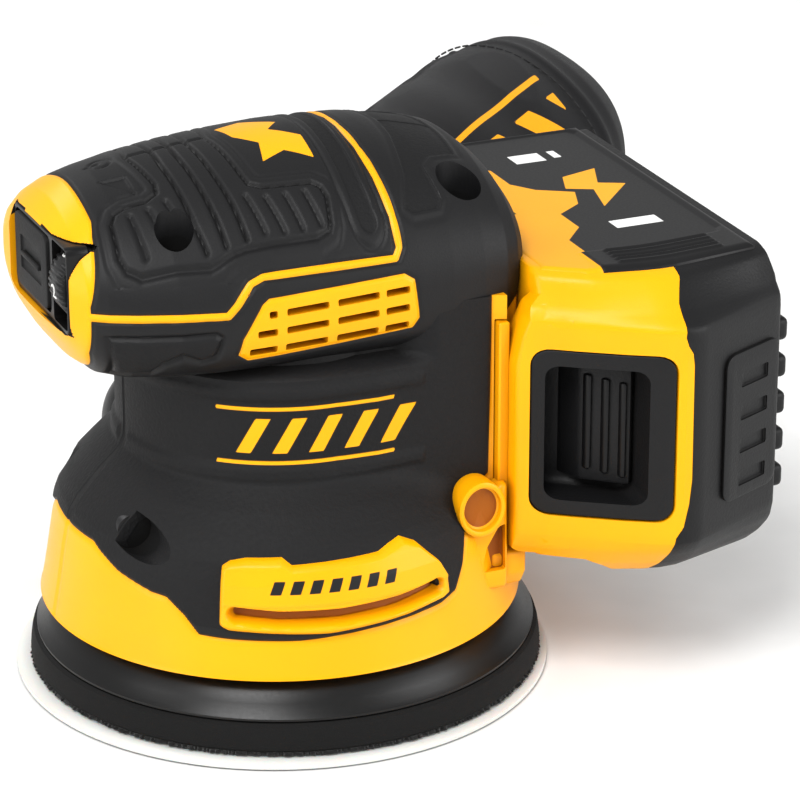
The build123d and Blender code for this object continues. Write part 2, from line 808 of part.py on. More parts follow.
def make_seals_and_electrics():
    """Brake ring, controller, switch, terminal block, leads and the screws."""
    with BuildPart() as brake:
        with BuildSketch(Plane.XY.offset(skirt_base + 1.6)):
            Circle(skirt_radius - skin - wall - 0.9)
            Circle(fan_room_radius + 3.0, mode=Mode.SUBTRACT)
        extrude(amount=1.6)
        with BuildSketch(Plane.XY.offset(skirt_base - 0.6)):
            Circle(plate_rim_top_radius - 2.6)
            Circle(plate_rim_top_radius - 4.2, mode=Mode.SUBTRACT)
        extrude(amount=2.2)
    save(brake.part, "brake_ring")

    floor = upper_bearing_top + 5.0
    with BuildPart() as controller:
        with BuildSketch(Plane.XY.offset(floor)):
            Rectangle(50.0, 46.0)
        extrude(amount=1.8)
        with BuildSketch(Plane.XY.offset(floor + 1.8)):
            with Locations((-14.0, -12.0), (-14.0, 12.0)):
                Circle(5.0)
            with Locations((10.0, 0.0)):
                Rectangle(22.0, 30.0)
        extrude(amount=7.0)
    save(controller.part, "controller")

    switch = block(
        (nose_joint + 1.4, nose_joint + 12.0),
        (button_middle - 9.0, button_middle + 9.0),
        (nose_middle - 8.0, nose_middle + 8.0),
    )
    save(switch, "switch_module")

    pot = block(
        (dial_x - 4.0, dial_x + 4.0),
        (dial_y + dial_width / 2 + 0.5, dial_y + dial_width / 2 + 2.6),
        (nose_middle - 4.0, nose_middle + 4.0),
    ) - rod((dial_x, dial_y, nose_middle), (0, 1, 0), 20.0, dial_axle + running_gap)
    save(pot, "dial_sensor")

    slot_floor = receiver_face - rail_depth - slide_gap
    terminal = block(
        (slot_floor - 5.3, slot_floor), terminal_y, (battery_middle - terminal_half, battery_middle + terminal_half)
    )
    save(terminal, "terminal_block")
    with BuildPart() as blades:
        for z in terminal_heights:
            with Locations((slot_floor + 2.9, terminal_y[1] - 10.0, battery_middle + z)):
                Box(5.8, 18.0, 0.8)
    save(blades.part, "terminal_blades")

    leads = Part()
    for i in range(3):
        y = terminal_y[0] + 5.5 + 3.0 * i
        leads += rod((slot_floor - 6.6, y, battery_middle + 8.0), (0, 0, 1), 20.0, 1.2)
    save(leads, "power_leads")

    with BuildPart() as cover_screws:
        for x in cover_screw_x:
            for y in (-cover_screw_y, cover_screw_y):
                with BuildSketch(Plane.XY.offset(93.0)):
                    with Locations((x, y)):
                        Circle(screw_radius)
                extrude(amount=handle_split + 4.0 - 93.0)
                with BuildSketch(Plane.XY.offset(handle_split + 4.0)):
                    with Locations((x, y)):
                        Circle(screw_head_radius)
                extrude(amount=screw_head_height)
                with BuildSketch(Plane.XY.offset(handle_split + 4.0 + screw_head_height)):
                    with Locations((x, y)):
                        RegularPolygon(screw_head_radius * 0.55, 6)
                extrude(amount=-1.2, mode=Mode.SUBTRACT)
    save(cover_screws.part, "cover_screws")

    screws = Part() + body_screw_shafts(screw_radius)
    for x, head, length in body_screws:
        screws += rod((x, -head, body_screw_height), (0, -1, 0), screw_head_height, screw_head_radius)
        if head > length:
            screws += rod((x, head, body_screw_height), (0, 1, 0), screw_head_height, screw_head_radius)
    save(screws, "body_screws")


def make_controls():
    """Power button and speed dial."""
    with BuildPart() as button:
        with Locations((nose_front + 4.4, button_middle, nose_middle)):
            Box(6.0, button_width, button_height)
        fillet(button.edges().filter_by(Axis.X), radius=1.6)
        with Locations((nose_front + 1.4, button_middle, nose_middle - 4.2)):
            Box(1.2, button_width - 7.0, 1.6, mode=Mode.SUBTRACT)
    save(button.part, "power_button")

    with BuildPart() as dial:
        with BuildSketch(Plane.XZ.offset(-dial_y + dial_width / 2)):
            with Locations((dial_x, nose_middle)):
                Circle(dial_radius)
                with PolarLocations(dial_radius, 12):
                    Circle(0.9, mode=Mode.SUBTRACT)
        extrude(amount=-dial_width)
        with BuildSketch(Plane.XZ.offset(-dial_y - dial_width / 2)):
            with Locations((dial_x, nose_middle)):
                Circle(dial_axle)
        extrude(amount=-2.4)
    save(dial.part, "speed_dial")


def make_battery():
    """The slide-on pack: two shells, rail, cells, board, buttons and screws."""
    low = battery_low
    high = battery_high
    face = battery_face
    back = battery_depth_end
    seam = battery_seam
    end = battery_length / 2
    corner = battery_corner

    def pack_form(inset):
        with BuildPart() as form:
            with BuildSketch(Plane.XZ.offset(-end + inset)):
                with BuildLine():
                    Polyline(
                        (face + inset, low + inset),
                        (face + inset, high - inset),
                        (back - corner, high - inset),
                        (back - inset, high - corner),
                        (back - inset, low + corner),
                        (back - corner, low + inset),
                        close=True,
                    )
                make_face()
            extrude(amount=2 * (end - inset))
            if not inset:
                fillet(form.edges().filter_by(Axis.Y).group_by(Axis.X)[-1], radius=3.0)
                fillet(form.edges().filter_by(Axis.Z).group_by(Axis.X)[-1], radius=3.0)
        return form.part

    outer = pack_form(0.0)
    inner = pack_form(battery_wall)
    front_side = block((0.0, seam), (-90, 90), (0, 160))
    back_side = block((seam, 160.0), (-90, 90), (0, 160))
    hollow = outer - inner

    rail_face = receiver_face - rail_depth
    rail_end = receiver_half_length - 4.0 - 0.6
    neck_face = receiver_face - rail_neck_depth
    rail = block(
        (rail_face, neck_face),
        (-end + 17.0, rail_end),
        (battery_middle - rail_width / 2, battery_middle + rail_width / 2),
    )
    rail = rail + block(
        (neck_face, face),
        (-end + 17.0, rail_end),
        (battery_middle - rail_neck / 2, battery_middle + rail_neck / 2),
    )
    rail_slots = [
        block(
            (rail_face - 1.0, rail_face + 8.0),
            (terminal_y[0] - 6.5, rail_end + 1.0),
            (battery_middle + z - 1.2, battery_middle + z + 1.2),
        )
        for z in terminal_heights
    ]
    head = block((face - head_depth, face), (-end, -end + head_length), (low + head_inset, high - head_inset))
    pocket_x = (head_button_front, seam - 1.4)
    pocket_z = (battery_middle - release_height / 2, battery_middle + release_height / 2)
    socket = block(
        (pocket_x[0] - fit_gap, pocket_x[1] + fit_gap),
        (-end - 1.0, -end + 5.6),
        (pocket_z[0] - fit_gap, pocket_z[1] + fit_gap),
    )
    throat = block(
        (scoop_x[0] - 2.4, scoop_x[1] + 2.4),
        (-end - 1.0, -end + 14.0),
        (scoop_z[0] - 2.4, scoop_z[1] + 2.4),
    )
    latch_hole = block((face - 1.0, face + 4.0), (-end + 8.0, -end + 16.6), (battery_middle - 7.5, battery_middle + 7.5))
    front_shell = (hollow & front_side) + [rail, head]
    front_shell = front_shell - rail_slots - [socket, throat, latch_hole]
    save(Part() + sorted(front_shell.solids(), key=lambda s: s.volume)[-1], "battery_front_shell")

    rear_shell = hollow & back_side
    ribs = [
        block((back - 12.0, back + rib_rise), (-34.0 + 14.0 * i, -26.0 + 14.0 * i), (low + 12.0, high - 12.0))
        for i in range(5)
    ]
    rear_shell = rear_shell + [rib - inner - block((0, back - 11.0), (-90, 90), (0, 160)) for rib in ribs]
    gauge_socket = block(
        (gauge_x - 3.0 - fit_gap, gauge_x + 3.0 + fit_gap),
        (end - 5.0, end + 3.0),
        (battery_middle - 14.0 - fit_gap, battery_middle - 2.0 + fit_gap),
    )
    window_socket = block((gauge_x - 2.0, gauge_x + 2.0), (end - 5.0, end + 3.0), (battery_middle, battery_middle + 16.0))
    rear_shell = rear_shell - [gauge_socket, window_socket]
    wells = [rod((back - 8.0, -end + 6.5, z), (1, 0, 0), 20.0, screw_head_radius + 0.4) for z in (low + 9.0, high - 9.0)]
    rear_shell = rear_shell - wells
    bosses = [
        rod((seam + 2.0, -end + 6.5, z), (1, 0, 0), back - 8.0 - seam - 2.0, 4.4, screw_radius)
        for z in (low + 9.0, high - 9.0)
    ]
    rear_shell = rear_shell + [boss + rod((back - 9.0, -end + 6.5, z), (1, 0, 0), 8.0, 5.6, screw_head_radius + 0.4)
                               for boss, z in zip(bosses, (low + 9.0, high - 9.0))]
    rear_shell = rear_shell & (pack_form(0.0) + ribs)
    save(Part() + sorted(rear_shell.solids(), key=lambda s: s.volume)[-1], "battery_rear_shell")

    screws = Part()
    for z in (low + 9.0, high - 9.0):
        screws += rod((seam - 6.0, -end + 6.5, z), (1, 0, 0), back - 8.0 - seam + 6.0, screw_radius)
        screws += rod((back - 8.0, -end + 6.5, z), (1, 0, 0), screw_head_height, screw_head_radius)
    save(screws, "battery_screws")

    with BuildPart() as cells:
        for x in cell_rows:
            for i in range(cell_columns):
                y = cell_shift + (i - (cell_columns - 1) / 2) * cell_pitch
                with BuildSketch(Plane.XY.offset(battery_middle - cell_length / 2)):
                    with Locations((x, y)):
                        Circle(cell_radius)
                extrude(amount=cell_length)
    save(cells.part, "battery_cells")

    with BuildPart() as holder:
        for z in (battery_middle - cell_length / 2 - 1.6, battery_middle + cell_length / 2):
            with Locations((sum(cell_rows) / 2, cell_shift, z + 0.8)):
                Box(36.0, cell_pitch * cell_columns, 1.6)
    save(holder.part, "cell_plates")

    board_x = cell_rows[0] - cell_radius - 3.6
    board = block((board_x, board_x + 1.6), (-end + 21.0, end - 9.0), (battery_middle - 28.0, battery_middle + 28.0))
    save(board, "battery_board")
    contacts = Part()
    for z in terminal_heights:
        contacts += block(
            (rail_face + 6.9, rail_face + 8.0),
            (terminal_y[0] - 5.5, terminal_y[1]),
            (battery_middle + z - 1.2, battery_middle + z + 1.2),
        )
    save(contacts, "battery_contacts")

    plate = block(pocket_x, (-end + 0.4, -end + 2.6), pocket_z)
    box_outer = block(
        (scoop_x[0] - 1.8, scoop_x[1] + 1.8), (-end + 0.4, -end + release_depth), (scoop_z[0] - 1.8, scoop_z[1] + 1.8)
    )
    scoop = block(scoop_x, (-end - 1.0, -end + 10.6), scoop_z)
    button = (plate + box_outer) - scoop
    finger_ribs = [
        block((x - 0.7, x + 0.7), (-end + 8.0, -end + 10.6), (scoop_z[0] + 3.0, scoop_z[1] - 3.0))
        for x in (scoop_x[0] + 5.0, (scoop_x[0] + scoop_x[1]) / 2, scoop_x[1] - 5.0)
    ]
    save(button + finger_ribs, "release_button")
    latch = block((face - 4.4, face + 2.6), (-end + 9.4, -end + 14.0), (battery_middle - 6.5, battery_middle + 6.5))
    latch = latch + block((face + 2.3, scoop_x[0] - 1.8), (-end + 9.4, -end + 11.8), (battery_middle - 6.5, battery_middle + 6.5))
    save(latch, "release_latch")

    gauge = block(
        (gauge_x - 3.0, gauge_x + 3.0), (end - 2.6, end + 0.9), (battery_middle - 14.0, battery_middle - 2.0)
    )
    save(gauge, "gauge_button")
    lights = Part()
    for i in range(3):
        z = battery_middle + 2.7 + 5.3 * i
        lights += block((gauge_x - 1.4, gauge_x + 1.4), (end - 1.6, end - 0.2), (z - 1.6, z + 1.6))
    light_bar = block((gauge_x - 2.0, gauge_x + 2.0), (end - 2.6, end - 1.6), (battery_middle, battery_middle + 16.0))
    save(light_bar + lights, "gauge_lights")


def make_dust_path():
    """Outlet pipe, the bag's collar and locking ring, and the bag as a closed form."""
    pipe = port_form(port_radius, port_reach) - port_form(port_radius - port_wall, port_reach + 1.0)
    pipe = pipe - make_room() - tube(0.0, 100.0, fan_room_radius)
    save(Part() + sorted(pipe.solids(), key=lambda s: s.volume)[-1], "dust_port")

    flange_start = port_start + port_direction * 2.0
    collar = rod(flange_start, port_direction, collar_length, collar_radius, port_radius + slide_gap)
    collar = collar + rod(
        port_start + port_direction * (collar_length + 0.0), port_direction, 2.0, collar_radius, port_radius - port_wall
    )
    save(collar, "bag_collar")
    ring = rod(
        port_start + port_direction * 4.0,
        port_direction,
        lock_ring_width,
        collar_radius + running_gap * 2 + lock_ring_wall,
        collar_radius + running_gap * 2,
    )
    save(ring, "lock_ring")

    start = collar_length + 2.0
    bag_profile = (
        (start, 0.0),
        (start, bag_neck_radius),
        (start + 7.0, bag_neck_radius + 5.0),
        (start + 20.0, bag_radius - 3.4),
        (start + 46.0, bag_radius),
        (bag_length - 16.0, bag_radius),
        (bag_length - 5.0, bag_radius - 6.0),
        (bag_length, bag_radius - 18.0),
        (bag_length, 0.0),
    )
    with BuildPart() as bag:
        with BuildSketch(Plane(origin=port_start, x_dir=port_direction, z_dir=(-port_direction.Y, port_direction.X, 0))):
            with BuildLine():
                Polyline(*bag_profile, close=True)
            make_face()
        revolve(axis=Axis(port_start, port_direction))
    save(bag.part, "dust_bag")


make_pad()
make_bearing("pad_bearing", pad_bearing, pad_bearing_base, (orbit_offset, 0.0))
make_bearing("lower_bearing", lower_bearing, lower_bearing_base, gap=running_gap)
make_bearing("upper_bearing", upper_bearing, upper_bearing_base, gap=running_gap)
make_rotor()
make_motor()
make_housings()
make_seals_and_electrics()
make_controls()
make_battery()
make_dust_path()
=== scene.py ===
import math

import bmesh
import bpy
import numpy as np
from mathutils import Matrix, Vector


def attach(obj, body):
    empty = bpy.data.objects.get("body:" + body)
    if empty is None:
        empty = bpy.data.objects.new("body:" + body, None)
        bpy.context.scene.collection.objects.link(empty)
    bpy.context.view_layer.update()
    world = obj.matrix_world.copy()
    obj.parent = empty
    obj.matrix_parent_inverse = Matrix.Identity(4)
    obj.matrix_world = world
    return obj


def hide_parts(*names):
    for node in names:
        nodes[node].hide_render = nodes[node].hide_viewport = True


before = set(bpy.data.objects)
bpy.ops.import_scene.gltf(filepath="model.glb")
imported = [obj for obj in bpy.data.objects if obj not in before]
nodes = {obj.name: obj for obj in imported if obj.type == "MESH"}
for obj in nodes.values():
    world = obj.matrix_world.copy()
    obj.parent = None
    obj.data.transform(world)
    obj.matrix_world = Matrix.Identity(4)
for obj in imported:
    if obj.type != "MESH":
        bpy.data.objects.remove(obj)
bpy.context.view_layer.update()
scene = bpy.context.scene
MM = 0.001


# ---------------------------------------------------------------- materials
def linear(hex_code):
    """A hex sRGB colour as linear RGBA."""
    parts = [int(hex_code[i : i + 2], 16) / 255 for i in (0, 2, 4)]
    return [c / 12.92 if c <= 0.04045 else ((c + 0.055) / 1.055) ** 2.4 for c in parts] + [1.0]


def put(tree, kind, links=None, **settings):
    """Adds a node: settings are its properties, links its inputs by name or number."""
    item = tree.nodes.new(kind)
    for key, value in settings.items():
        setattr(item, key, value)
    for key, value in (links or {}).items():
        socket = item.inputs[key]
        if isinstance(value, bpy.types.NodeSocket):
            tree.links.new(value, socket)
        else:
            socket.default_value = value
    return item


def material(name, layers, metal=0.0, sheen=0.0, coat=0.0, weave=None, subsurface=0.0, shine=0.22):
    """A surface built of layers: (attribute or None, hex colour, roughness, grain in mm, grain strength).

    Each layer after the first shows where its attribute is positive, and every piece that wears the
    material paints those attributes. Moulded grain is about 0.1 mm on the real pieces. It is drawn at
    0.3 to 1.2 mm, as coarse as it needs to be to show."""
    made = bpy.data.materials.new(name)
    made.use_nodes = True
    tree = made.node_tree
    tree.nodes.clear()
    place = put(tree, "ShaderNodeTexCoord")
    # faint uneven tone about 38 mm across, as on handled plastic
    broad = put(tree, "ShaderNodeTexNoise",
                {"Vector": place.outputs["Object"], "Scale": 1000.0 / 38.0, "Detail": 3.0})
    tint = put(tree, "ShaderNodeMapRange", {"Value": broad.outputs["Fac"], "From Min": 0.25, "From Max": 0.75,
                                            "To Min": 0.93, "To Max": 1.05})
    colour, rough, height = None, None, None
    for mask_name, hex_code, roughness, grain, strength in layers:
        fine = put(tree, "ShaderNodeTexNoise", {"Vector": place.outputs["Object"], "Scale": 1000.0 / grain,
                                                "Detail": 2.5, "Roughness": 0.6})
        flat = put(tree, "ShaderNodeRGB")
        flat.outputs[0].default_value = linear(hex_code)
        tone = put(tree, "ShaderNodeHueSaturation", {"Value": tint.outputs[0], "Color": flat.outputs[0]}).outputs[0]
        rough_here = put(tree, "ShaderNodeMapRange",
                         {"Value": fine.outputs["Fac"], "From Min": 0.2, "From Max": 0.8,
                          "To Min": roughness - 0.05, "To Max": roughness + 0.05}).outputs[0]
        height_here = put(tree, "ShaderNodeMath", {0: fine.outputs["Fac"], 1: strength},
                          operation="MULTIPLY").outputs[0]
        if colour is None:
            colour, rough, height = tone, rough_here, height_here
            continue
        where = put(tree, "ShaderNodeAttribute", attribute_name=mask_name, attribute_type="GEOMETRY")
        mask = put(tree, "ShaderNodeMapRange",
                   {"Value": where.outputs["Fac"], "From Min": -0.08, "From Max": 0.08}).outputs[0]
        colour = put(tree, "ShaderNodeMix", {0: mask, 6: colour, 7: tone}, data_type="RGBA").outputs[2]
        rough = put(tree, "ShaderNodeMix", {0: mask, 2: rough, 3: rough_here}, data_type="FLOAT").outputs[0]
        height = put(tree, "ShaderNodeMix", {0: mask, 2: height, 3: height_here}, data_type="FLOAT").outputs[0]
    if weave:
        twill = put(tree, "ShaderNodeTexWave",
                    {"Vector": place.outputs["UV"], "Scale": weave, "Distortion": 0.4, "Detail": 1.0},
                    wave_type="BANDS", bands_direction="DIAGONAL")
        height = put(tree, "ShaderNodeMath", {0: height, 1: twill.outputs["Fac"]}, operation="ADD").outputs[0]
        thread = put(tree, "ShaderNodeMapRange",
                     {"Value": twill.outputs["Fac"], "To Min": 0.75, "To Max": 1.3}).outputs[0]
        colour = put(tree, "ShaderNodeHueSaturation", {"Value": thread, "Color": colour}).outputs[0]
    # painted shade: the colour darkens towards near black in corners and hollows within 4 mm
    near = put(tree, "ShaderNodeAmbientOcclusion", {"Distance": 0.004})
    painted_corner_shade = put(tree, "ShaderNodeMapRange", {"Value": near.outputs["AO"], "From Min": 0.2, "From Max": 0.9,
                                            "To Min": 0.45, "To Max": 0.0}).outputs[0]
    colour = put(tree, "ShaderNodeMix", {0: painted_corner_shade, 6: colour, 7: (0.004, 0.003, 0.002, 1.0)},
                 data_type="RGBA").outputs[2]
    bump = put(tree, "ShaderNodeBump", {"Strength": 0.6, "Distance": 0.00012, "Height": height})
    shader = put(tree, "ShaderNodeBsdfPrincipled",
                 {"Base Color": colour, "Roughness": rough, "Normal": bump.outputs["Normal"],
                  "Metallic": metal, "Sheen Weight": sheen, "Coat Weight": coat,
                  "Subsurface Weight": subsurface, "Subsurface Scale": 0.002})
    if not metal:
        shader.inputs["Specular IOR Level"].default_value = shine
    put(tree, "ShaderNodeOutputMaterial", {"Surface": shader.outputs[0]})
    return made


YELLOW = "f9a800"
BLACK = "141415"
YELLOW_MOULDED = (None, YELLOW, 0.36, 0.5, 0.25)
# Glass-filled nylon, injection moulded, with black thermoplastic rubber moulded over it: satin yellow,
# dull soft black, and coarse spark-eroded texture on the grip panels
TWO_SHOT = material("nylon_and_rubber", [
    YELLOW_MOULDED,
    ("rubber", BLACK, 0.50, 0.45, 0.55),
    ("coarse", "111112", 0.66, 0.9, 2.6),
    ("mark", YELLOW, 0.36, 0.5, 0.25),
    # painted shade: orange-brown inside the vent slots
    ("dark", "8a4a00", 0.6, 0.8, 0.5),
    # painted shade: near black deep in the screw wells and on the nose opening's walls
    ("pit", "060606", 0.8, 0.8, 0.5),
])
# The same nylon alone: satin yellow, with painted shade darkening the inside of its holes
NYLON = material("yellow_nylon", [YELLOW_MOULDED, ("dark", "9a5200", 0.5, 0.8, 0.4)])
# The same nylon with black pad printing on it, for the scoop's front, with painted shade inside its slot
PRINTED_NYLON = material("printed_nylon", [YELLOW_MOULDED, ("dark", "9a5200", 0.5, 0.8, 0.4),
                                           ("ink", "191919", 0.5, 0.6, 0.2)])
# Black moulded nylon: sparked texture on the outside, smoother where a finger or a slide runs
BLACK_NYLON = material("black_nylon", [(None, "121213", 0.46, 0.6, 1.1), ("smooth", "0d0d0e", 0.34, 0.6, 0.2)])
# Screen-printed polycarbonate label film: even, slightly shinier than the shell
LABEL = material("label_film", [
    (None, YELLOW, 0.34, 0.5, 0.2),
    ("ink", "121213", 0.4, 0.6, 0.2),
    ("mark", "f2f2f0", 0.4, 0.6, 0.1),
    ("gold", YELLOW, 0.34, 0.5, 0.2),
])
# Moulded nylon backing plate: the shiniest black here, with a broad soft highlight round its rim
GLOSS_BLACK = material("glossy_backing_plate", [(None, "090909", 0.33, 0.7, 0.15)], shine=0.3)
# Cut polyurethane foam: matt, with open pores at the cut edge
FOAM = material("closed_cell_foam", [(None, "0e0e0e", 0.85, 0.35, 3.0)])
# Nylon hook tape: matt with a fuzzy light edge
HOOK = material("hook_and_loop", [(None, "101010", 0.9, 0.3, 5.0)], sheen=0.2)
# Film-backed abrasive with white brushed loop: pale and matt
ABRASIVE = material("abrasive_film", [(None, "eeeeea", 0.5, 1.2, 0.6)], subsurface=0.2)
# Woven polyester twill, screen-printed: diagonal ribs and a faint nap
TWILL = material("polyester_twill", [(None, "0e0e10", 0.9, 0.35, 0.8), ("print", "f0a000", 0.8, 0.35, 0.8)],
                 sheen=0.08, weave=170.0, shine=0.3)
# Spun polyester thread: dull dark stitches
THREAD = material("sewing_thread", [(None, "2b2b2c", 0.9, 0.3, 1.0)])
# White pad printing: flat and even
WHITE = material("white_print", [(None, "e9e9e6", 0.5, 0.5, 0.1)])
# Turned steel with bright zinc plate: grey and fairly sharp
STEEL = material("zinc_plated_steel", [(None, "9a9a9c", 0.32, 0.4, 0.4)], metal=1.0)
# Rolled steel screw, black oxide: dark with a dull metal glint
BLACK_STEEL = material("blackened_steel_screw", [(None, "3b3b3c", 0.38, 0.4, 0.5)], metal=1.0)
# Die-cast aluminium: pale grey and slightly rough
ALLOY = material("die_cast_aluminium", [(None, "b9babc", 0.45, 0.5, 1.0)], metal=1.0)
# Drawn copper, varnished: warm red-brown metal
COPPER = material("copper", [(None, "c07a4a", 0.35, 0.4, 0.5)], metal=1.0)
# Glass-epoxy board under green solder resist
BOARD = material("circuit_board", [(None, "12502c", 0.4, 0.8, 0.4)])
# Sintered magnet with nickel plate: smooth grey metal
MAGNET = material("nickel_plated_magnet", [(None, "86878a", 0.3, 0.4, 0.4)], metal=1.0)
# Moulded nitrile rubber: matt black
RUBBER = material("nitrile_rubber", [(None, "0f0f10", 0.6, 0.5, 1.0)])
# Tinted acrylic light pipe: dark red and glossy
LAMP = material("tinted_lens", [(None, "7d120e", 0.15, 1.0, 0.1)], coat=0.6)


# ---------------------------------------------------------------- meshes
def new_object(name, vertices, faces, finish, body, slot, stands_for=()):
    """A smooth-shaded piece from points in millimetres, riding on a body."""
    mesh = bpy.data.meshes.new(name)
    mesh.from_pydata((np.asarray(vertices, float) * MM).tolist(), [], faces)
    mesh.validate()
    return settle(name, mesh, finish, body, stands_for)


def settle(name, mesh, finish, body, stands_for=()):
    """Makes a finished piece of a mesh: material, shading, body and the CAD nodes it stands for."""
    made = bpy.data.objects.new(name, mesh)
    scene.collection.objects.link(made)
    outward(mesh)
    mesh.materials.clear()
    mesh.materials.append(finish)
    shade(mesh)
    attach(made, body)
    if stands_for:
        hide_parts(*stands_for)
    return made


def shade(mesh, angle=35.0):
    """Smooth faces, with an edge kept sharp where it turns more than the angle."""
    mesh.polygons.foreach_set("use_smooth", np.ones(len(mesh.polygons), bool))
    sharp = math.cos(math.radians(angle))
    work = bmesh.new()
    work.from_mesh(mesh)
    for edge in work.edges:
        pair = edge.link_faces
        edge.smooth = len(pair) == 2 and pair[0].normal.dot(pair[1].normal) > sharp
    work.to_mesh(mesh)
    work.free()


def outward(mesh):
    """Turns every face to the outside."""
    work = bmesh.new()
    work.from_mesh(mesh)
    bmesh.ops.recalc_face_normals(work, faces=work.faces)
    work.to_mesh(mesh)
    work.free()


def points(mesh):
    """The mesh's points in millimetres."""
    flat = np.empty(len(mesh.vertices) * 3)
    mesh.vertices.foreach_get("co", flat)
    return flat.reshape(-1, 3) / MM


def paint(made, **values):
    """Stores point attributes, one number for each vertex or one for all."""
    for name, numbers in values.items():
        layer = made.data.attributes.new(name, "FLOAT", "POINT")
        layer.data.foreach_set("value", np.full(len(made.data.vertices), numbers, np.float32))


def grid_faces(rows, columns, closed=True):
    """Quads of a grid whose columns join up when closed."""
    faces = []
    last = columns if closed else columns - 1
    for i in range(rows - 1):
        for j in range(last):
            k = (j + 1) % columns
            faces.append((i * columns + j, i * columns + k, (i + 1) * columns + k, (i + 1) * columns + j))
    return faces


def capped(rings):
    """Points and faces of a closed tube through rings of equal length, each end closed to a point."""
    rings = np.asarray(rings, float)
    rows, columns, _ = rings.shape
    faces = grid_faces(rows, columns)
    vertices = rings.reshape(-1, 3)
    first, last = len(vertices), len(vertices) + 1
    vertices = np.vstack([vertices, rings[0].mean(0), rings[-1].mean(0)])
    for j in range(columns):
        k = (j + 1) % columns
        faces.append((first, k, j))
        faces.append((last, (rows - 1) * columns + j, (rows - 1) * columns + k))
    return vertices, faces


def lathe(profile, columns=256, centre=(0.0, 0.0)):
    """A turned piece about the upright axis from (radius, height) pairs, closed at both ends."""
    turn = np.linspace(0, 2 * np.pi, columns, endpoint=False)
    rings = [[(centre[0] + r * np.cos(a), centre[1] + r * np.sin(a), z) for a in turn] for r, z in profile]
    return capped(rings)


def bevelled(low, high, radius, segments=4):
    """A rounded box as a mesh, from its corners in millimetres."""
    mesh = bpy.data.meshes.new("box")
    work = bmesh.new()
    bmesh.ops.create_cube(work, size=1.0)
    low, high = Vector(low) * MM, Vector(high) * MM
    size = high - low
    for vertex in work.verts:
        vertex.co = Vector((a * b for a, b in zip(vertex.co, size))) + (low + high) / 2
    if radius:
        bmesh.ops.bevel(work, geom=work.edges, offset=radius * MM, segments=segments, profile=0.5, affect="EDGES")
    work.to_mesh(mesh)
    work.free()
    return mesh


def prism(outline, axis, low, high, bevel=0.0, segments=3):
    """A mesh from an outline of (a, b) pairs carried along an axis, with rounded edges."""
    mesh = bpy.data.meshes.new("prism")
    work = bmesh.new()
    rings = []
    for level in (low, high):
        ring = []
        for a, b in outline:
            where = {"X": (level, a, b), "Y": (a, level, b), "Z": (a, b, level)}[axis]
            ring.append(work.verts.new(Vector(where) * MM))
        rings.append(ring)
    count = len(outline)
    work.faces.new(rings[0])
    work.faces.new(rings[1][::-1])
    for j in range(count):
        k = (j + 1) % count
        work.faces.new((rings[0][j], rings[1][j], rings[1][k], rings[0][k]))
    bmesh.ops.recalc_face_normals(work, faces=work.faces)
    if bevel:
        bmesh.ops.bevel(work, geom=work.edges, offset=bevel * MM, segments=segments, profile=0.5, affect="EDGES",
                        clamp_overlap=True)
    work.to_mesh(mesh)
    work.free()
    return mesh


def rod_mesh(start, direction, length, radius, sides=48):
    """A cylinder as a mesh."""
    mesh = bpy.data.meshes.new("rod")
    work = bmesh.new()
    bmesh.ops.create_cone(work, cap_ends=True, segments=sides, radius1=radius * MM, radius2=radius * MM,
                          depth=length * MM)
    turn = Vector(direction).to_track_quat("Z", "Y").to_matrix().to_4x4()
    place = Matrix.Translation((Vector(start) + Vector(direction).normalized() * length / 2) * MM) @ turn
    bmesh.ops.transform(work, matrix=place, verts=work.verts)
    work.to_mesh(mesh)
    work.free()
    return mesh


def joined(meshes):
    """One mesh out of several."""
    work = bmesh.new()
    for mesh in meshes:
        work.from_mesh(mesh)
    made = bpy.data.meshes.new("joined")
    work.to_mesh(made)
    work.free()
    return made


def combine(mesh, tool, operation="DIFFERENCE", solver="MANIFOLD"):
    """The Boolean of two closed meshes."""
    base = bpy.data.objects.new("base", mesh)
    other = bpy.data.objects.new("tool", tool)
    for item in (base, other):
        scene.collection.objects.link(item)
    change = base.modifiers.new("boolean", "BOOLEAN")
    change.operation = operation
    change.object = other
    change.solver = solver
    shown = base.evaluated_get(bpy.context.evaluated_depsgraph_get())
    made = bpy.data.meshes.new_from_object(shown)
    for item in (base, other):
        bpy.data.objects.remove(item)
    if len(made.polygons) == 0 and solver == "MANIFOLD":
        return combine(mesh, tool, operation, "EXACT")
    return made


def cut(mesh, *tools):
    """The mesh with each tool taken away in turn."""
    for tool in tools:
        mesh = combine(mesh, tool)
    return mesh


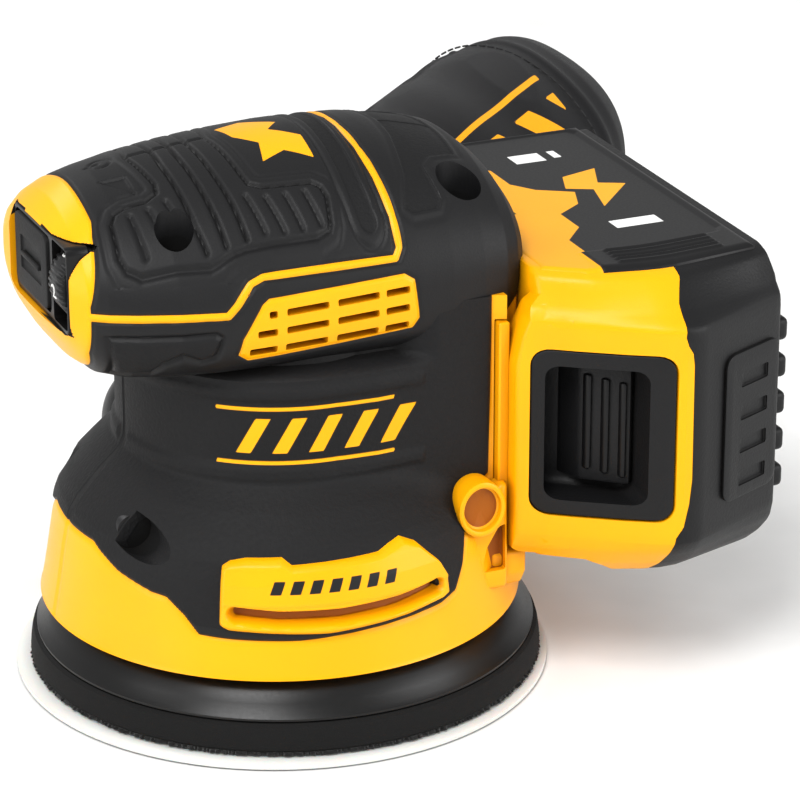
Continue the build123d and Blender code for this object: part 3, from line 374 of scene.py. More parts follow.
def scatter(name, template, places, finish):
    """Copies of a small mesh on points with a turn each, by a geometry-node tree, as one real mesh."""
    source = bpy.data.objects.new(name + "_template", template)
    cloud = bpy.data.meshes.new(name)
    cloud.from_pydata([tuple(v * MM for v in place) for place, _ in places], [], [])
    turns = cloud.attributes.new("turn", "FLOAT_VECTOR", "POINT")
    turns.data.foreach_set("vector", np.array([turn for _, turn in places], np.float32).ravel())
    holder = bpy.data.objects.new(name, cloud)
    for item in (source, holder):
        scene.collection.objects.link(item)
    tree = bpy.data.node_groups.new(name + "_layout", "GeometryNodeTree")
    for label, way, kind in (("Points", "INPUT", "Geometry"), ("Template", "INPUT", "Object"),
                             ("Result", "OUTPUT", "Geometry")):
        tree.interface.new_socket(label, in_out=way, socket_type="NodeSocket" + kind)
    start = put(tree, "NodeGroupInput")
    info = put(tree, "GeometryNodeObjectInfo", {"Object": start.outputs["Template"]})
    turn = put(tree, "GeometryNodeInputNamedAttribute", {"Name": "turn"}, data_type="FLOAT_VECTOR")
    spread = put(tree, "GeometryNodeInstanceOnPoints",
                 {"Points": start.outputs["Points"], "Instance": info.outputs["Geometry"],
                  "Rotation": turn.outputs["Attribute"]})
    real = put(tree, "GeometryNodeRealizeInstances", {0: spread.outputs[0]})
    coat = put(tree, "GeometryNodeSetMaterial", {"Geometry": real.outputs[0], "Material": finish})
    put(tree, "NodeGroupOutput", {0: coat.outputs[0]})
    change = holder.modifiers.new("layout", "NODES")
    change.node_group = tree
    change[next(item.identifier for item in tree.interface.items_tree if item.name == "Template")] = source
    made = bpy.data.meshes.new_from_object(holder.evaluated_get(bpy.context.evaluated_depsgraph_get()))
    for item in (source, holder):
        bpy.data.objects.remove(item)
    return made


# ---------------------------------------------------------------- distances for raised and engraved detail
def line_distance(where, path):
    """Distance from each point to a polyline, in any number of dimensions."""
    best = np.full(len(where), 1e9)
    path = np.asarray(path, float)
    for a, b in zip(path[:-1], path[1:]):
        along = b - a
        t = np.clip(((where - a) @ along) / max(along @ along, 1e-9), 0, 1)
        best = np.minimum(best, np.linalg.norm(where - (a + t[:, None] * along), axis=1))
    return best


def inside(where, outline):
    """Signed distance to a closed outline in two dimensions, positive inside it."""
    outline = np.asarray(outline, float)
    closed = np.vstack([outline, outline[:1]])
    odd = np.zeros(len(where), bool)
    for (ax, ay), (bx, by) in zip(closed[:-1], closed[1:]):
        if ay == by:
            continue
        crosses = (ay > where[:, 1]) != (by > where[:, 1])
        odd ^= crosses & (where[:, 0] < (bx - ax) * (where[:, 1] - ay) / (by - ay) + ax)
    distance = line_distance(where, closed)
    return np.where(odd, distance, -distance)


def groove(distance, depth, width):
    """An engraved line where the distance is near nothing."""
    return -depth * np.exp(-((distance / width) ** 2))


def rise(signed, height, edge=0.35):
    """A smooth step up where the signed distance is positive."""
    t = np.clip(signed / edge * 0.5 + 0.5, 0, 1)
    return height * t * t * (3 - 2 * t)


# ---------------------------------------------------------------- skirt, barrel and flanks
SKIRT = np.array([
    (18.2, 57.2), (19.0, 57.2), (26.0, 55.9), (36.0, 54.3), (41.0, 53.3), (45.0, 51.8), (48.0, 49.8), (51.0, 47.1),
    (54.0, 44.3), (56.5, 41.6), (58.7, 39.4), (61.0, 38.4), (64.0, 38.1), (98.0, 38.1),
])
# where the rubber ends on the skirt: (angle from +X in degrees, height)
EDGE = [(-180, 42), (-166, 42), (-155, 38), (-144, 35.7), (-140, 35.4), (-135, 32), (-131, 28), (-123, 27.7),
        (-107, 27.5), (-83, 28.9), (-69, 29.8), (-64, 31.2), (-60, 36.5), (-58, 41), (-53, 49), (-48, 51.5),
        (-45.6, 54), (-45.2, 100), (-45.2, 130), (-180, 130)]
BADGE_TOP = [(-126, 44.5), (-124, 45.6), (-120, 46.3), (-111, 46.5), (-108.5, 44.9), (-86, 45.6), (-83, 46.6),
             (-79, 47.6), (-75, 45.9), (-70, 41.0), (-67, 35.0)]
BADGE_LOW = [(-126, 31.0), (-123.5, 30.0), (-100, 29.0), (-80, 30.2), (-70, 31.4), (-67, 33.0)]


UNDER_BADGE = [(-124, 31.2), (-96, 30.4), (-69.5, 32.6), (-78, 43.6), (-124, 43.4)]
SCOOP_SLOT = [(-122.0, 34.0), (-112, 33.2), (-97, 33.0), (-82, 33.6), (-71.5, 35.0)]
BADGE_START, BADGE_END = -126, -67
MM_PER_DEGREE = 0.94  # round the skirt


def unrolled(path):
    """(angle in degrees, height) pairs laid flat, in millimetres."""
    return np.asarray(path, float) * (MM_PER_DEGREE, 1.0)


def skirt_radius(angle, height):
    """Radius of the body at an angle in radians and a height."""
    base = np.interp(height, SKIRT[:, 0], SKIRT[:, 1])
    across, along = np.abs(np.sin(angle)), np.cos(angle)
    lean = np.clip((38.3 * along / np.maximum(across, 0.2) - 38.2) / 2.6, 0, 1)
    flank = np.minimum((38.3 + 2.2 * lean * lean * (3 - 2 * lean)) / np.maximum(across, 0.3),
                       41.1 / np.maximum(along, 0.05))
    fade = np.clip((along + 0.02) / 0.25, 0, 1) * np.clip((height - 34.0) / 16.0, 0, 1)
    high = flank * fade + base * (1 - fade)
    soft = np.maximum(4.0 * fade, 0.001)
    h = np.clip(0.5 + 0.5 * (high - base) / soft, 0, 1)
    swept = base * (1 - h) + high * h + soft * h * (1 - h)
    flat = np.where(height > 27.4, 41.1 / np.maximum(along, 0.05), 1e3)
    tuck = np.clip((height - 84.0) / 2.0, 0, 1) * np.clip((24.0 - swept * along) / 6.0, 0, 1)
    return np.minimum(swept, flat) - 6.0 * tuck


def skirt_detail(angle, height):
    """Rubber mask, engraved depth and printed marks over the skirt and barrel."""
    degrees = np.degrees(angle)
    mirrored = -np.abs(degrees)
    rubber = inside(unrolled(np.column_stack([mirrored, height])), unrolled(EDGE))
    depth = groove(rubber, 0.5, 0.55) + rise(rubber, 0.5)
    depth += rise(inside(unrolled(np.column_stack([degrees, height])), unrolled(UNDER_BADGE)), -4.5, 0.6)
    depth += np.where(mirrored < -179.0, -0.3, 0.0)
    for level in (61.4, 80.4):
        reach = np.minimum(mirrored + 176.0, -62.0 - mirrored)
        depth += rise(np.minimum(1.4 - np.abs(height - level), reach), 0.7, 0.9)
    mark = np.full(len(height), -5.0)
    width = np.minimum(mirrored + 133.0, -71.0 - mirrored)
    for level in (64.0, 77.0):
        mark = np.maximum(mark, np.minimum(0.45 - np.abs(height - level), width))
    for i in range(5):
        middle = -120.0 + 12.5 * i
        slant = (mirrored - middle) * 0.66 - (height - 70.5) * 0.55
        mark = np.maximum(mark, np.minimum(1.7 - np.abs(slant), 4.2 - np.abs(height - 70.5)))
    return rubber, depth, mark


# the inside of the body, from over the motor down to the skirt's lip: (radius, height)
INNER_WALL = [(0.5, 94.0), (31.0, 94.0), (33.3, 90.0), (33.3, 48.0), (43.0, 44.0), (43.0, 25.5), (52.6, 22.0),
              (53.4, 18.6), (54.2, 18.2), (56.4, 18.2), (57.0, 18.5)]
# the slot that the battery's rail slides in, its head and its neck
RAIL_HEAD = (38.2, -70.0, 40.3), (41.8, 38.0, 91.7)
RAIL_NECK = (41.6, -70.0, 44.0), (60.0, 38.0, 88.0)


def make_skirt():
    """The body's skin: skirt, motor barrel and flanks in one closed, hollow shell."""
    columns = 600
    heights = np.concatenate([np.linspace(19.0, 62.0, 92), np.linspace(62.6, 97.5, 56)])
    turn = np.linspace(-np.pi, np.pi, columns, endpoint=False)
    angle, height = np.tile(turn, len(heights)), np.repeat(heights, columns)
    _, depth, _ = skirt_detail(angle, height)
    radius = skirt_radius(angle, height) + depth - 0.45
    outer = np.column_stack([radius * np.cos(angle), radius * np.sin(angle), height])
    rings = [np.column_stack([r * np.cos(turn), r * np.sin(turn), np.full(columns, z)]) for r, z in INNER_WALL]
    rings += list(outer.reshape(len(heights), columns, 3))
    rings.append(np.column_stack([3 * np.cos(turn), 3 * np.sin(turn), np.full(columns, 97.5)]))
    vertices, faces = capped(rings)
    mesh = bpy.data.meshes.new("skirt")
    mesh.from_pydata((vertices * MM).tolist(), [], faces)
    outward(mesh)
    wells = joined([rod_mesh((-43.9, 20.0 * side, 46.6), (0, side, 0), 40.0, 4.6, 64) for side in (-1, 1)])
    mesh = cut(mesh, wells, bevelled(*RAIL_HEAD, 0.2, 1), bevelled(*RAIL_NECK, 0.2, 1))
    made = settle("body_skin", mesh, TWO_SHOT, "housing",
                  ("body_left", "body_right", "overmould_left", "overmould_right"))
    x, y, z = points(mesh).T
    angle = np.arctan2(y, x)
    rubber, _, mark = skirt_detail(angle, z)
    deep = np.hypot(x, y) < skirt_radius(angle, z) - 2.2
    front_well = deep & (x < -30) & (z > 38)
    rubber = np.where(front_well, 3.0, rubber)
    rubber = np.where(z < 19.0, -3.0, rubber)
    # painted shade: near black deep in the front screw wells
    paint(made, rubber=rubber, mark=np.where(deep, -3.0, mark), dark=-1.0,
          coarse=np.where((rubber > 0.6) & (z > 30), 0.3, -1.0),
          pit=np.where(front_well & (np.abs(y) < 23), 1.0, -1.0))


def make_badge():
    """The yellow scoop with its long slot, as a patch that follows the skirt."""
    columns, rows = 260, 60
    angles = np.linspace(BADGE_START, BADGE_END, columns)
    low = np.interp(angles, *np.array(BADGE_LOW).T)
    high = np.interp(angles, *np.array(BADGE_TOP).T)
    radians = np.radians(angles)
    ends = np.minimum(1.0, np.minimum(angles - BADGE_START, BADGE_END - angles) / 1.2) ** 0.5
    loops = []
    for t in (i / (rows - 1) for i in range(rows)):
        z = low + (high - low) * t
        height = 1.7 * np.minimum(1.0, np.minimum(t, 1 - t) * 14) ** 0.5
        slot = 1.5 - line_distance(unrolled(np.column_stack([angles, z])), unrolled(SCOOP_SLOT))
        front = skirt_radius(radians, z) - 0.3 + height * ends - rise(slot, 3.4, 0.8)
        front = front + rise(z - 36.2, 0.35, 0.6) * np.minimum(1.0, ends)
        back = skirt_radius(radians, z) - 5.0
        front, back = [np.column_stack([r * np.cos(radians), r * np.sin(radians), z]) for r in (front, back)]
        loops.append(np.vstack([front, back[::-1]]))
    made = new_object("scoop", *capped(loops), PRINTED_NYLON, "housing", "yellow_plastic", ("scoop_badge",))
    x, y, z = points(made.data).T
    angle = np.degrees(np.arctan2(y, x))
    bars = np.full(len(x), -3.0)
    for i in range(7):
        middle = -112.0 + 4.6 * i
        across = (angle - middle) * MM_PER_DEGREE - (z - 40.6) * 0.35
        bars = np.maximum(bars, np.minimum(1.25 - np.abs(across), 1.5 - np.abs(z - 40.6)))
    # painted shade: orange-brown within about 1 mm of the scoop slot's middle line
    paint(made, dark=1.0 - line_distance(unrolled(np.column_stack([angle, z])), unrolled(SCOOP_SLOT)), ink=bars)


# ---------------------------------------------------------------- handle
STATIONS = np.array([
    # x, top, half width, floor, widest, upper and lower roundness
    (-59.6, 113.6, 18.5, 97.5, 106.0, 2.6, 2.8), (-59.2, 115.6, 20.4, 95.8, 106.0, 2.4, 2.8),
    (-58.0, 118.4, 23.6, 92.6, 105.5, 2.2, 3.0), (-55.0, 122.2, 27.4, 87.6, 105.0, 1.95, 3.2),
    (-51.0, 125.0, 30.2, 84.6, 104.0, 1.8, 3.3), (-45.0, 127.0, 32.8, 83.0, 103.4, 1.72, 3.3),
    (-36.0, 128.8, 35.6, 82.4, 102.8, 1.72, 3.3), (-25.0, 130.2, 37.4, 82.2, 102.4, 1.76, 3.3),
    (-14.0, 131.1, 38.3, 82.2, 102.0, 1.8, 3.3), (0.0, 131.6, 38.7, 82.2, 102.0, 1.85, 3.3),
    (10.0, 131.4, 38.8, 82.2, 102.0, 1.9, 3.3), (20.0, 130.6, 38.8, 82.2, 102.0, 1.95, 3.3),
    (28.0, 129.4, 38.6, 82.4, 102.0, 2.0, 3.3), (36.0, 127.4, 38.0, 83.0, 102.0, 2.1, 3.3),
    (42.0, 125.0, 37.0, 84.0, 102.0, 2.2, 3.2), (45.5, 122.0, 35.0, 86.0, 102.4, 2.3, 3.0),
    (48.4, 117.6, 31.0, 90.0, 103.0, 2.3, 2.8), (49.6, 113.0, 26.0, 95.0, 103.5, 2.3, 2.6),
])
PANEL = [(-36.5, 0), (-35.3, -6.5), (-34.1, -13.3), (-34.7, -15.9), (-37.8, -17.1), (-42.8, -16.7), (-45.3, -17.4),
         (-46.7, -19.4), (-47.4, -26.0), (-46.4, -28.6), (-43.6, -30.5), (-28.4, -33.4), (-26.2, -33.2), (-22.8, -32.6),
         (-19.6, -32.4), (-2.9, -33.2), (0.1, -32.5), (0.8, -31.5), (1.9, -26.3), (1.4, -24.0), (-0.3, -22.6),
         (-4.6, -22.1), (-11.8, -21.3), (-14.3, -19.9), (-15.0, -17.0), (-16.3, -5.9), (-17.3, 0)]
LONG_LINES = [[(-30.4, 0), (-30.6, -7.9), (-29.9, -17.7), (-29.4, -26.0), (-28.5, -31.0)],
              [(-26.2, 0), (-26.1, -5.9), (-25.3, -15.6), (-24.6, -23.4), (-23.9, -31.0)],
              [(-22.0, 0), (-21.5, -5.8), (-20.7, -15.2), (-19.7, -23.2), (-19.0, -30.8)]]
SHORT_LINES = [[(-16.1, -22.7), (-14.5, -30.4)], [(-11.8, -24.0), (-10.1, -31.0)], [(-7.2, -24.3), (-5.8, -31.2)],
               [(-2.7, -24.4), (-1.4, -31.1)], [(-42.2, -19.4), (-41.6, -28.0)], [(-37.9, -19.4), (-37.2, -23.4)],
               [(-33.6, -18.8), (-32.8, -23.2)]]
STRIP = [(9.3, 0), (9.2, -13.3), (9.0, -23.9), (9.3, -30.4), (9.5, -32.0)]
STRIPE = [(-58.6, -22.0, 102.3), (-55.0, -27.3, 102.3), (-51.0, -30.1, 102.3), (-45.0, -32.7, 102.2),
          (-36.0, -35.5, 102.0), (-25.9, -37.2, 101.6), (-23.7, -37.3, 103.9), (-20.3, -36.6, 108.3),
          (-17.2, -36.3, 109.5), (14.2, -37.4, 109.7), (15.5, -36.5, 111.9), (15.6, -32.1, 118.0), (15.2, -23.7, 124.6),
          (14.6, -13.9, 129.2), (14.2, -3.4, 131.3), (14.2, 0, 131.3)]
PATCH = [(25.2, 0), (24.6, -9.4), (22.1, -23.7), (19.3, -31.0), (20.6, -32.0), (27.0, -31.5), (28.4, -29.8),
         (27.4, -21.3), (30.5, -18.2), (37.4, -16.6), (38.6, -3.9), (38.6, 0)]
EMBLEM = [(-13.2, 4.0), (-6.0, 7.5), (1.0, 2.0), (-2.5, -2.0), (3.6, -7.0), (3.2, -16.0), (-2.5, -12.0), (-8.5, -14.5),
          (-6.8, -7.5), (-11.5, -3.0)]
LOWER = [(-51.7, 97.6), (-28.6, 97.4), (-27.1, 96.3), (-28.4, 91.6), (-31.5, 90.6), (-35.8, 92.8), (-39.6, 90.6),
         (-41.5, 87.6), (-49.0, 87.0), (-50.6, 92.5)]
VENT = [(-23.2, 91.6), (-22.4, 95.6), (-18.0, 103.4), (-16.4, 104.6), (15.9, 106.0), (18.3, 104.4), (19.6, 95.0),
        (18.2, 92.6), (-20.6, 89.6)]
# screw wells in the handle's top: x, distance from the middle, radius
HANDLE_WELLS = (-33.9, 25.0, 4.4), (34.8, 25.0, 5.2)
DIAL = (-50.2, -17.2, 107.0)
DIAL_RADIUS = 9.4


def handle_section(x, columns=460, oversample=2400):
    """One cross-section of the handle, its points closest together over the top."""
    _, top, half, low, middle, upper, lower = [np.interp(x, STATIONS[:, 0], STATIONS[:, i]) for i in range(7)]
    a = np.linspace(-np.pi, np.pi, oversample + 1)
    s, c = np.sin(a), np.cos(a)
    power = np.where(c > 0, upper, lower)
    rise_by = np.where(c > 0, top - middle, middle - low)
    y = half * np.sign(s) * np.abs(s) ** (2 / power)
    z = middle + rise_by * np.sign(c) * np.abs(c) ** (2 / power)
    crowd = np.where((z[1:] > 99.0) | (np.abs(y[1:]) > half - 3.0), 3.0, 1.0)
    run = np.concatenate([[0], np.cumsum(np.hypot(np.diff(y), np.diff(z)) * crowd)])
    even = np.linspace(0, run[-1], columns, endpoint=False)
    return np.column_stack([np.full(columns, x), np.interp(even, run, y), np.interp(even, run, z)])


def handle_detail(where):
    """Rubber mask, engraved depth, coarse panels and emblem over the handle."""
    x, y, z = where[:, 0], -np.abs(where[:, 1]), where[:, 2]
    plan = np.column_stack([x, y])
    whole_plan = where[:, :2]
    side = np.column_stack([x, z])
    on_top = z > 106.0
    on_side = (z < 108.0) & (y < -14.0)
    cap = -np.where(z > 83.5, x - np.interp(z, [84.0, 93.0, 104.7, 118.4, 120.6, 126.0],
                                            [-51.6, -54.4, -54.6, -51.2, -50.2, -50.4]), 1.0)
    stripe = 0.95 - line_distance(np.column_stack([x, y, z]), STRIPE)
    vent = np.where(on_side, inside(side, VENT), -9.0)
    emblem = np.where(on_top, inside(whole_plan, EMBLEM), -9.0)
    rubber = -np.maximum.reduce([cap, stripe, vent])
    depth = groove(rubber, 0.42, 0.45)
    panel = np.where(on_top & (z > 109), inside(plan, PANEL), -9.0)
    depth += groove(panel, 0.75, 0.5) + groove(panel + 2.6, 0.25, 0.6)
    for paths, deep, wide in ((LONG_LINES, 0.85, 0.55), (SHORT_LINES, 0.7, 0.65)):
        for path in paths:
            depth += groove(np.where(on_top, line_distance(plan, path), 9.0), deep, wide)
    strip = np.where(on_top, 2.0 - line_distance(plan, STRIP), -9.0)
    depth += rise(strip, -0.5) + groove(strip + 2.0, 0.4, 0.5)
    patch = np.where(on_top, inside(plan, PATCH), -9.0)
    depth += rise(patch, -0.45) + groove(patch + 1.4, 0.2, 0.7)
    lower = np.where(on_side & (z < 99), inside(side, LOWER), -9.0)
    depth += groove(lower, 0.9, 0.7) + rise(lower, 0.2)
    wedge = np.where(on_top, inside(whole_plan, [(-45.0, -7.0), (-39.2, -8.0), (-39.0, -14.2)]), -9.0)
    depth += rise(wedge, -0.5)
    ring = np.abs(np.hypot(x + 42.0, where[:, 1] - 1.0) - 2.4)
    bar = line_distance(whole_plan, [(-45.4, 1.0), (-42.4, 1.0)])
    depth += groove(np.where(on_top, np.minimum(ring, bar), 9.0), 0.4, 0.4)
    coarse = np.maximum.reduce([strip, patch, np.where(lower > 0.6, lower, -9.0)])
    return rubber, depth, coarse, emblem


def make_handle():
    """The handle's skin in three lengths, each a closed piece of one surface."""
    front = [-59.6, -59.5, -59.3, -58.9, -58.4] + list(np.linspace(-57.8, -24.0, 118))
    rear = list(np.linspace(19.8, 44.0, 70)) + list(np.linspace(44.4, 49.6, 16))
    make_handle_length("handle_front", front, "nose", ("nose_cap", "grip_front"))
    make_handle_length("handle_middle", list(np.linspace(-24.0, 19.8, 150)), "middle",
                       ("handle_cover", "vent_grille_left", "vent_grille_right"))
    make_handle_length("handle_rear", rear, "tail", ("grip_rear",))


def make_handle_length(name, xs, part, stands_for):
    """Sections along the handle, moved along their normals by the engraved depth, closed and cut."""
    is_nose, is_tail = part == "nose", part == "tail"
    sections = [handle_section(x) for x in xs]
    first, last = sections[0], sections[-1]
    inner = [first.mean(0) + (first - first.mean(0)) * t for t in np.linspace(0.05, 0.97, 24 if is_nose else 3)]
    outer = [last.mean(0) + (last - last.mean(0)) * t for t in np.linspace(0.97, 0.08, 12 if is_tail else 3)]
    if is_tail:
        for ring, t in zip(outer, np.linspace(0.97, 0.08, 12)):
            ring[:, 0] = last[0, 0] + 0.6 * (1 - t * t)
    rings = np.array(inner + sections + outer)
    # one more section past each cut end, so that the normals run on from length to length
    before = xs[0] if is_nose else xs[0] - 0.3
    after = xs[-1] if is_tail else xs[-1] + 0.3
    body = np.array([handle_section(x) for x in [before] + xs + [after]])
    normal = np.cross(np.roll(body, -1, 1) - np.roll(body, 1, 1), np.gradient(body, axis=0))
    normal = (normal / np.maximum(np.linalg.norm(normal, axis=2, keepdims=True), 1e-9))[1:-1]
    middle = normal.shape[0] // 2
    if (normal[middle] * (body[middle + 1] - [0, 0, 105.0])).sum() < 0:
        normal = -normal
    _, depth, _, _ = handle_detail(np.array(sections).reshape(-1, 3))
    depth = depth.reshape(len(sections), -1)
    if is_nose:
        depth[:2] = 0
    if is_tail:
        depth[-2:] = 0
    rings[len(inner): len(inner) + len(sections)] += normal * depth[..., None]
    if not is_nose:
        rings[: len(inner), :, 0] = xs[0]
    vertices, faces = capped(rings)
    mesh = bpy.data.meshes.new(name)
    mesh.from_pydata((vertices * MM).tolist(), [], faces)
    outward(mesh)
    for x, y, r in HANDLE_WELLS:
        if xs[0] < x < xs[-1]:
            mesh = cut(mesh, joined([rod_mesh((x, y * side, 110.4), (0, 0, 1), 40.0, r, 64) for side in (-1, 1)]))
    if is_nose:
        mesh = cut(mesh, prism(rounded(-22.6, 14.0, 96.4, 117.2, 2.0), "X", -70.0, -51.2),
                   rod_mesh((DIAL[0], -22.4, DIAL[2]), (0, 1, 0), 10.4, DIAL_RADIUS + 0.5, 96))
    elif not is_tail:
        mesh = cut(mesh, slat_places())
    made = settle(name, mesh, TWO_SHOT, "housing", stands_for)
    where = points(mesh)
    x, y, z = where.T
    rubber, _, coarse, emblem = handle_detail(where)
    in_well = np.zeros(len(where), bool)
    for well_x, well_y, r in HANDLE_WELLS:
        in_well |= (np.hypot(x - well_x, np.abs(y) - well_y) < r + 0.1) & (z < 124)
    half, low, widest, power = [np.interp(x, STATIONS[:, 0], STATIONS[:, i]) for i in (2, 3, 4, 6)]
    drop = np.clip((widest - z) / (widest - low), 0, 1)
    skin = half * (1 - drop ** power) ** (1 / power)
    in_slot = (z < 106) & (z > 88) & (np.abs(x) < 23) & (skin - np.abs(y) > 0.9)
    in_nose = is_nose & (x > -58.6) & (x < -51.9) & (np.abs(y + 4.3) < 18.35) & (np.abs(z - 106.8) < 10.45)
    # painted shade: orange-brown inside the vent slots, near black on the nose opening's cut walls and deep in the
    # screw wells
    paint(made, rubber=np.where(in_well, 3.0, rubber), coarse=coarse, mark=emblem,
          dark=np.where(in_slot & ~in_well, 0.6, -1.0),
          pit=np.where(in_nose | (in_well & (z < 112.5)), 1.0, -1.0))


def rounded(y0, y1, z0, z1, r, steps=6):
    """A rounded rectangle as (a, b) pairs."""
    outline = []
    for cy, cz, start in ((y1 - r, z1 - r, 0), (y0 + r, z1 - r, 90), (y0 + r, z0 + r, 180), (y1 - r, z0 + r, 270)):
        for i in range(steps + 1):
            a = math.radians(start + 90 * i / steps)
            outline.append((cy + r * math.cos(a), cz + r * math.sin(a)))
    return outline


def slat_places():
    """Cutters for the vent slots, laid out by geometry nodes."""
    rows = ((101.6, (-16.6, -14.7)), (97.3, (-19.2, -14.6)), (93.0, (-20.8, -14.4)))
    meshes = []
    for length in (1.9, 4.6, 6.4, 10.0, 5.8):
        places = []
        for z, first in rows:
            spans = (first, (-12.5, -2.5), (-0.4, 9.6), (11.2, 17.0))
            for a, b in spans:
                if abs((b - a) - length) < 0.11:
                    for side in (-1, 1):
                        middle = (a + b) / 2
                        places.append(((middle, 37.0 * side, z + middle * 0.045), (0.0, -0.045, 0.0)))
        template = bevelled((-length / 2, -5.0, -0.85), (length / 2, 5.0, 0.85), 0.4, 2)
        meshes.append(scatter("slats", template, places, NYLON))
    return joined(meshes)


# ---------------------------------------------------------------- nose controls
def make_nose():
    """The black surround, the power button and the numbered speed dial in the nose."""
    bezel = cut(prism(rounded(-22.4, 13.8, 96.6, 117.0, 1.8), "X", -58.2, -53.0, 0.4, 2),
                prism(rounded(-10.9, 12.9, 98.0, 116.2, 1.6), "X", -62.0, -50.0),
                prism(rounded(-21.9, -12.5, 97.5, 116.5, 1.0), "X", -62.0, -50.0))
    made = settle("switch_surround", bezel, BLACK_NYLON, "housing", ("switch_bezel",))
    paint(made, smooth=1.0)
    button = cut(prism(rounded(-9.8, 12.2, 98.4, 115.8, 2.2), "X", -58.8, -52.8, 0.9, 3),
                 bevelled((-60.0, -6.0, 103.0), (-58.3, 8.4, 111.0), 0.5, 2))
    button = joined([button, bevelled((-59.3, -5.0, 106.2), (-58.2, 7.4, 107.4), 0.4, 2)])
    settle("button_cap", button, RUBBER, "power_button", ("power_button",))
    sides = 240
    turn = np.linspace(0, 2 * np.pi, sides, endpoint=False)
    teeth = 0.35 * (np.cos(turn * 40) > 0.2)
    rings = []
    for y, r in ((-12.8, 8.4), (-12.9, 9.0), (-13.5, DIAL_RADIUS), (-16.0, DIAL_RADIUS), (-18.4, DIAL_RADIUS),
                 (-20.9, DIAL_RADIUS), (-21.5, 9.0), (-21.6, 8.4)):
        reach = r - teeth if abs(y - DIAL[1]) > 2.5 else r
        rings.append(np.column_stack([DIAL[0] + reach * np.cos(turn), np.full(sides, y),
                                      DIAL[2] + reach * np.sin(turn)]))
    made = new_object("dial_wheel", *capped(rings), BLACK_NYLON, "speed_dial", "black_plastic", ("speed_dial",))
    paint(made, smooth=0.0)
    meshes = []
    for i, text in enumerate("123456"):
        curve = bpy.data.curves.new("digit", "FONT")
        curve.body = text
        curve.size = 0.0046
        curve.extrude = 0.00012
        curve.align_x = curve.align_y = "CENTER"
        holder = bpy.data.objects.new("digit", curve)
        scene.collection.objects.link(holder)
        mesh = bpy.data.meshes.new_from_object(holder.evaluated_get(bpy.context.evaluated_depsgraph_get()))
        bpy.data.objects.remove(holder)
        upright = Matrix(((0, 0, -1), (-1, 0, 0), (0, 1, 0))).to_4x4()
        spot = Matrix.Translation([v * MM for v in DIAL])
        spot = spot @ Matrix.Rotation(math.radians(-60.0 + 60.0 * i) - math.radians(8), 4, "Y")
        mesh.transform(spot @ Matrix.Translation((-0.00945, 0, 0)) @ upright)
        meshes.append(mesh)
    settle("dial_digits", joined(meshes), WHITE, "speed_dial")


# ---------------------------------------------------------------- pad
def make_pad():
    """Backing plate, foam and the fuzzy-edged hook layer, all turned about the pad's own axis."""
    centre = (1.25, 0.0)
    plate = [(2.0, 8.9), (59.0, 8.9), (59.4, 9.3), (59.4, 9.8), (58.6, 10.6), (57.2, 12.6), (55.4, 15.0),
             (53.8, 16.5), (52.6, 17.0), (51.0, 17.0), (50.2, 16.4), (46.6, 12.9), (2.0, 12.8)]
    new_object("pad_plate", *lathe(plate, 320, centre), GLOSS_BLACK, "pad", "black_plastic", ("backing_plate",))
    foam = [(2.0, 2.3), (60.6, 2.3), (61.0, 2.8), (60.9, 4.6), (60.6, 6.8), (60.2, 8.2), (59.4, 8.8), (2.0, 8.8)]
    new_object("pad_foam", *lathe(foam, 320, centre), FOAM, "pad", "foam", ("foam_pad",))
    tufts = 900
    turn = np.linspace(0, 2 * np.pi, tufts, endpoint=False)
    fuzz = np.random.default_rng(4).uniform(-0.5, 0.5, tufts)
    rings = []
    for r, z, loose in ((2.0, 0.95, 0), (60.2, 0.95, 0.4), (60.9, 1.5, 1.0), (60.7, 2.1, 0.7), (60.0, 2.3, 0.0),
                        (2.0, 2.3, 0)):
        reach = r + fuzz * loose
        rings.append(np.column_stack([centre[0] + reach * np.cos(turn), reach * np.sin(turn), np.full(tufts, z)]))
    new_object("hook_layer", *capped(rings), HOOK, "pad", "hook_fabric", ("hook_face",))


def finish_cad():
    """Materials for the CAD pieces that keep their own shape."""
    plan = {
        STEEL: "pad_spindle pad_screws pad_bearing lower_bearing upper_bearing motor_shaft rotor_core stator "
               "counterweight",
        BLACK_STEEL: "cover_screws body_screws battery_screws",
        MAGNET: "rotor_magnets",
        ALLOY: "eccentric_hub lower_bearing_plate upper_bearing_plate battery_cells",
        COPPER: "windings terminal_blades battery_contacts power_leads",
        BOARD: "controller battery_board",
        LAMP: "gauge_lights",
        BLACK_NYLON: "dust_port bag_collar switch_module dial_sensor terminal_block cell_plates fan",
        NYLON: "lock_ring",
        RUBBER: "brake_ring gauge_button",
        ABRASIVE: "abrasive_disc",
    }
    for finish, names in plan.items():
        for name in names.split():
            mesh = nodes[name].data
            mesh.materials.clear()
            mesh.materials.append(finish)


# ---------------------------------------------------------------- battery
# the pack's outline seen from the motor, (y, z) down its latch side
END = [(-46.0, 103.5), (-49.4, 102.0), (-50.8, 98.6), (-52.4, 95.4), (-54.6, 93.2), (-55.0, 91.0), (-55.0, 41.0),
       (-54.0, 37.4), (-51.0, 33.0), (-47.0, 29.6), (-43.0, 28.4)]
PACK_OUTLINE = END + [(-y, z) for y, z in reversed(END)]
# how far the latch end of the pack is set in, at each distance back from the motor
LEAN = np.array([(38.0, 11.0), (41.0, 10.6), (45.0, 8.6), (52.0, 3.4), (62.0, -3.4), (70.0, -8.2), (74.0, -9.6),
                 (78.0, -9.6), (84.0, -7.0), (104.0, 2.2), (112.0, 5.0)])


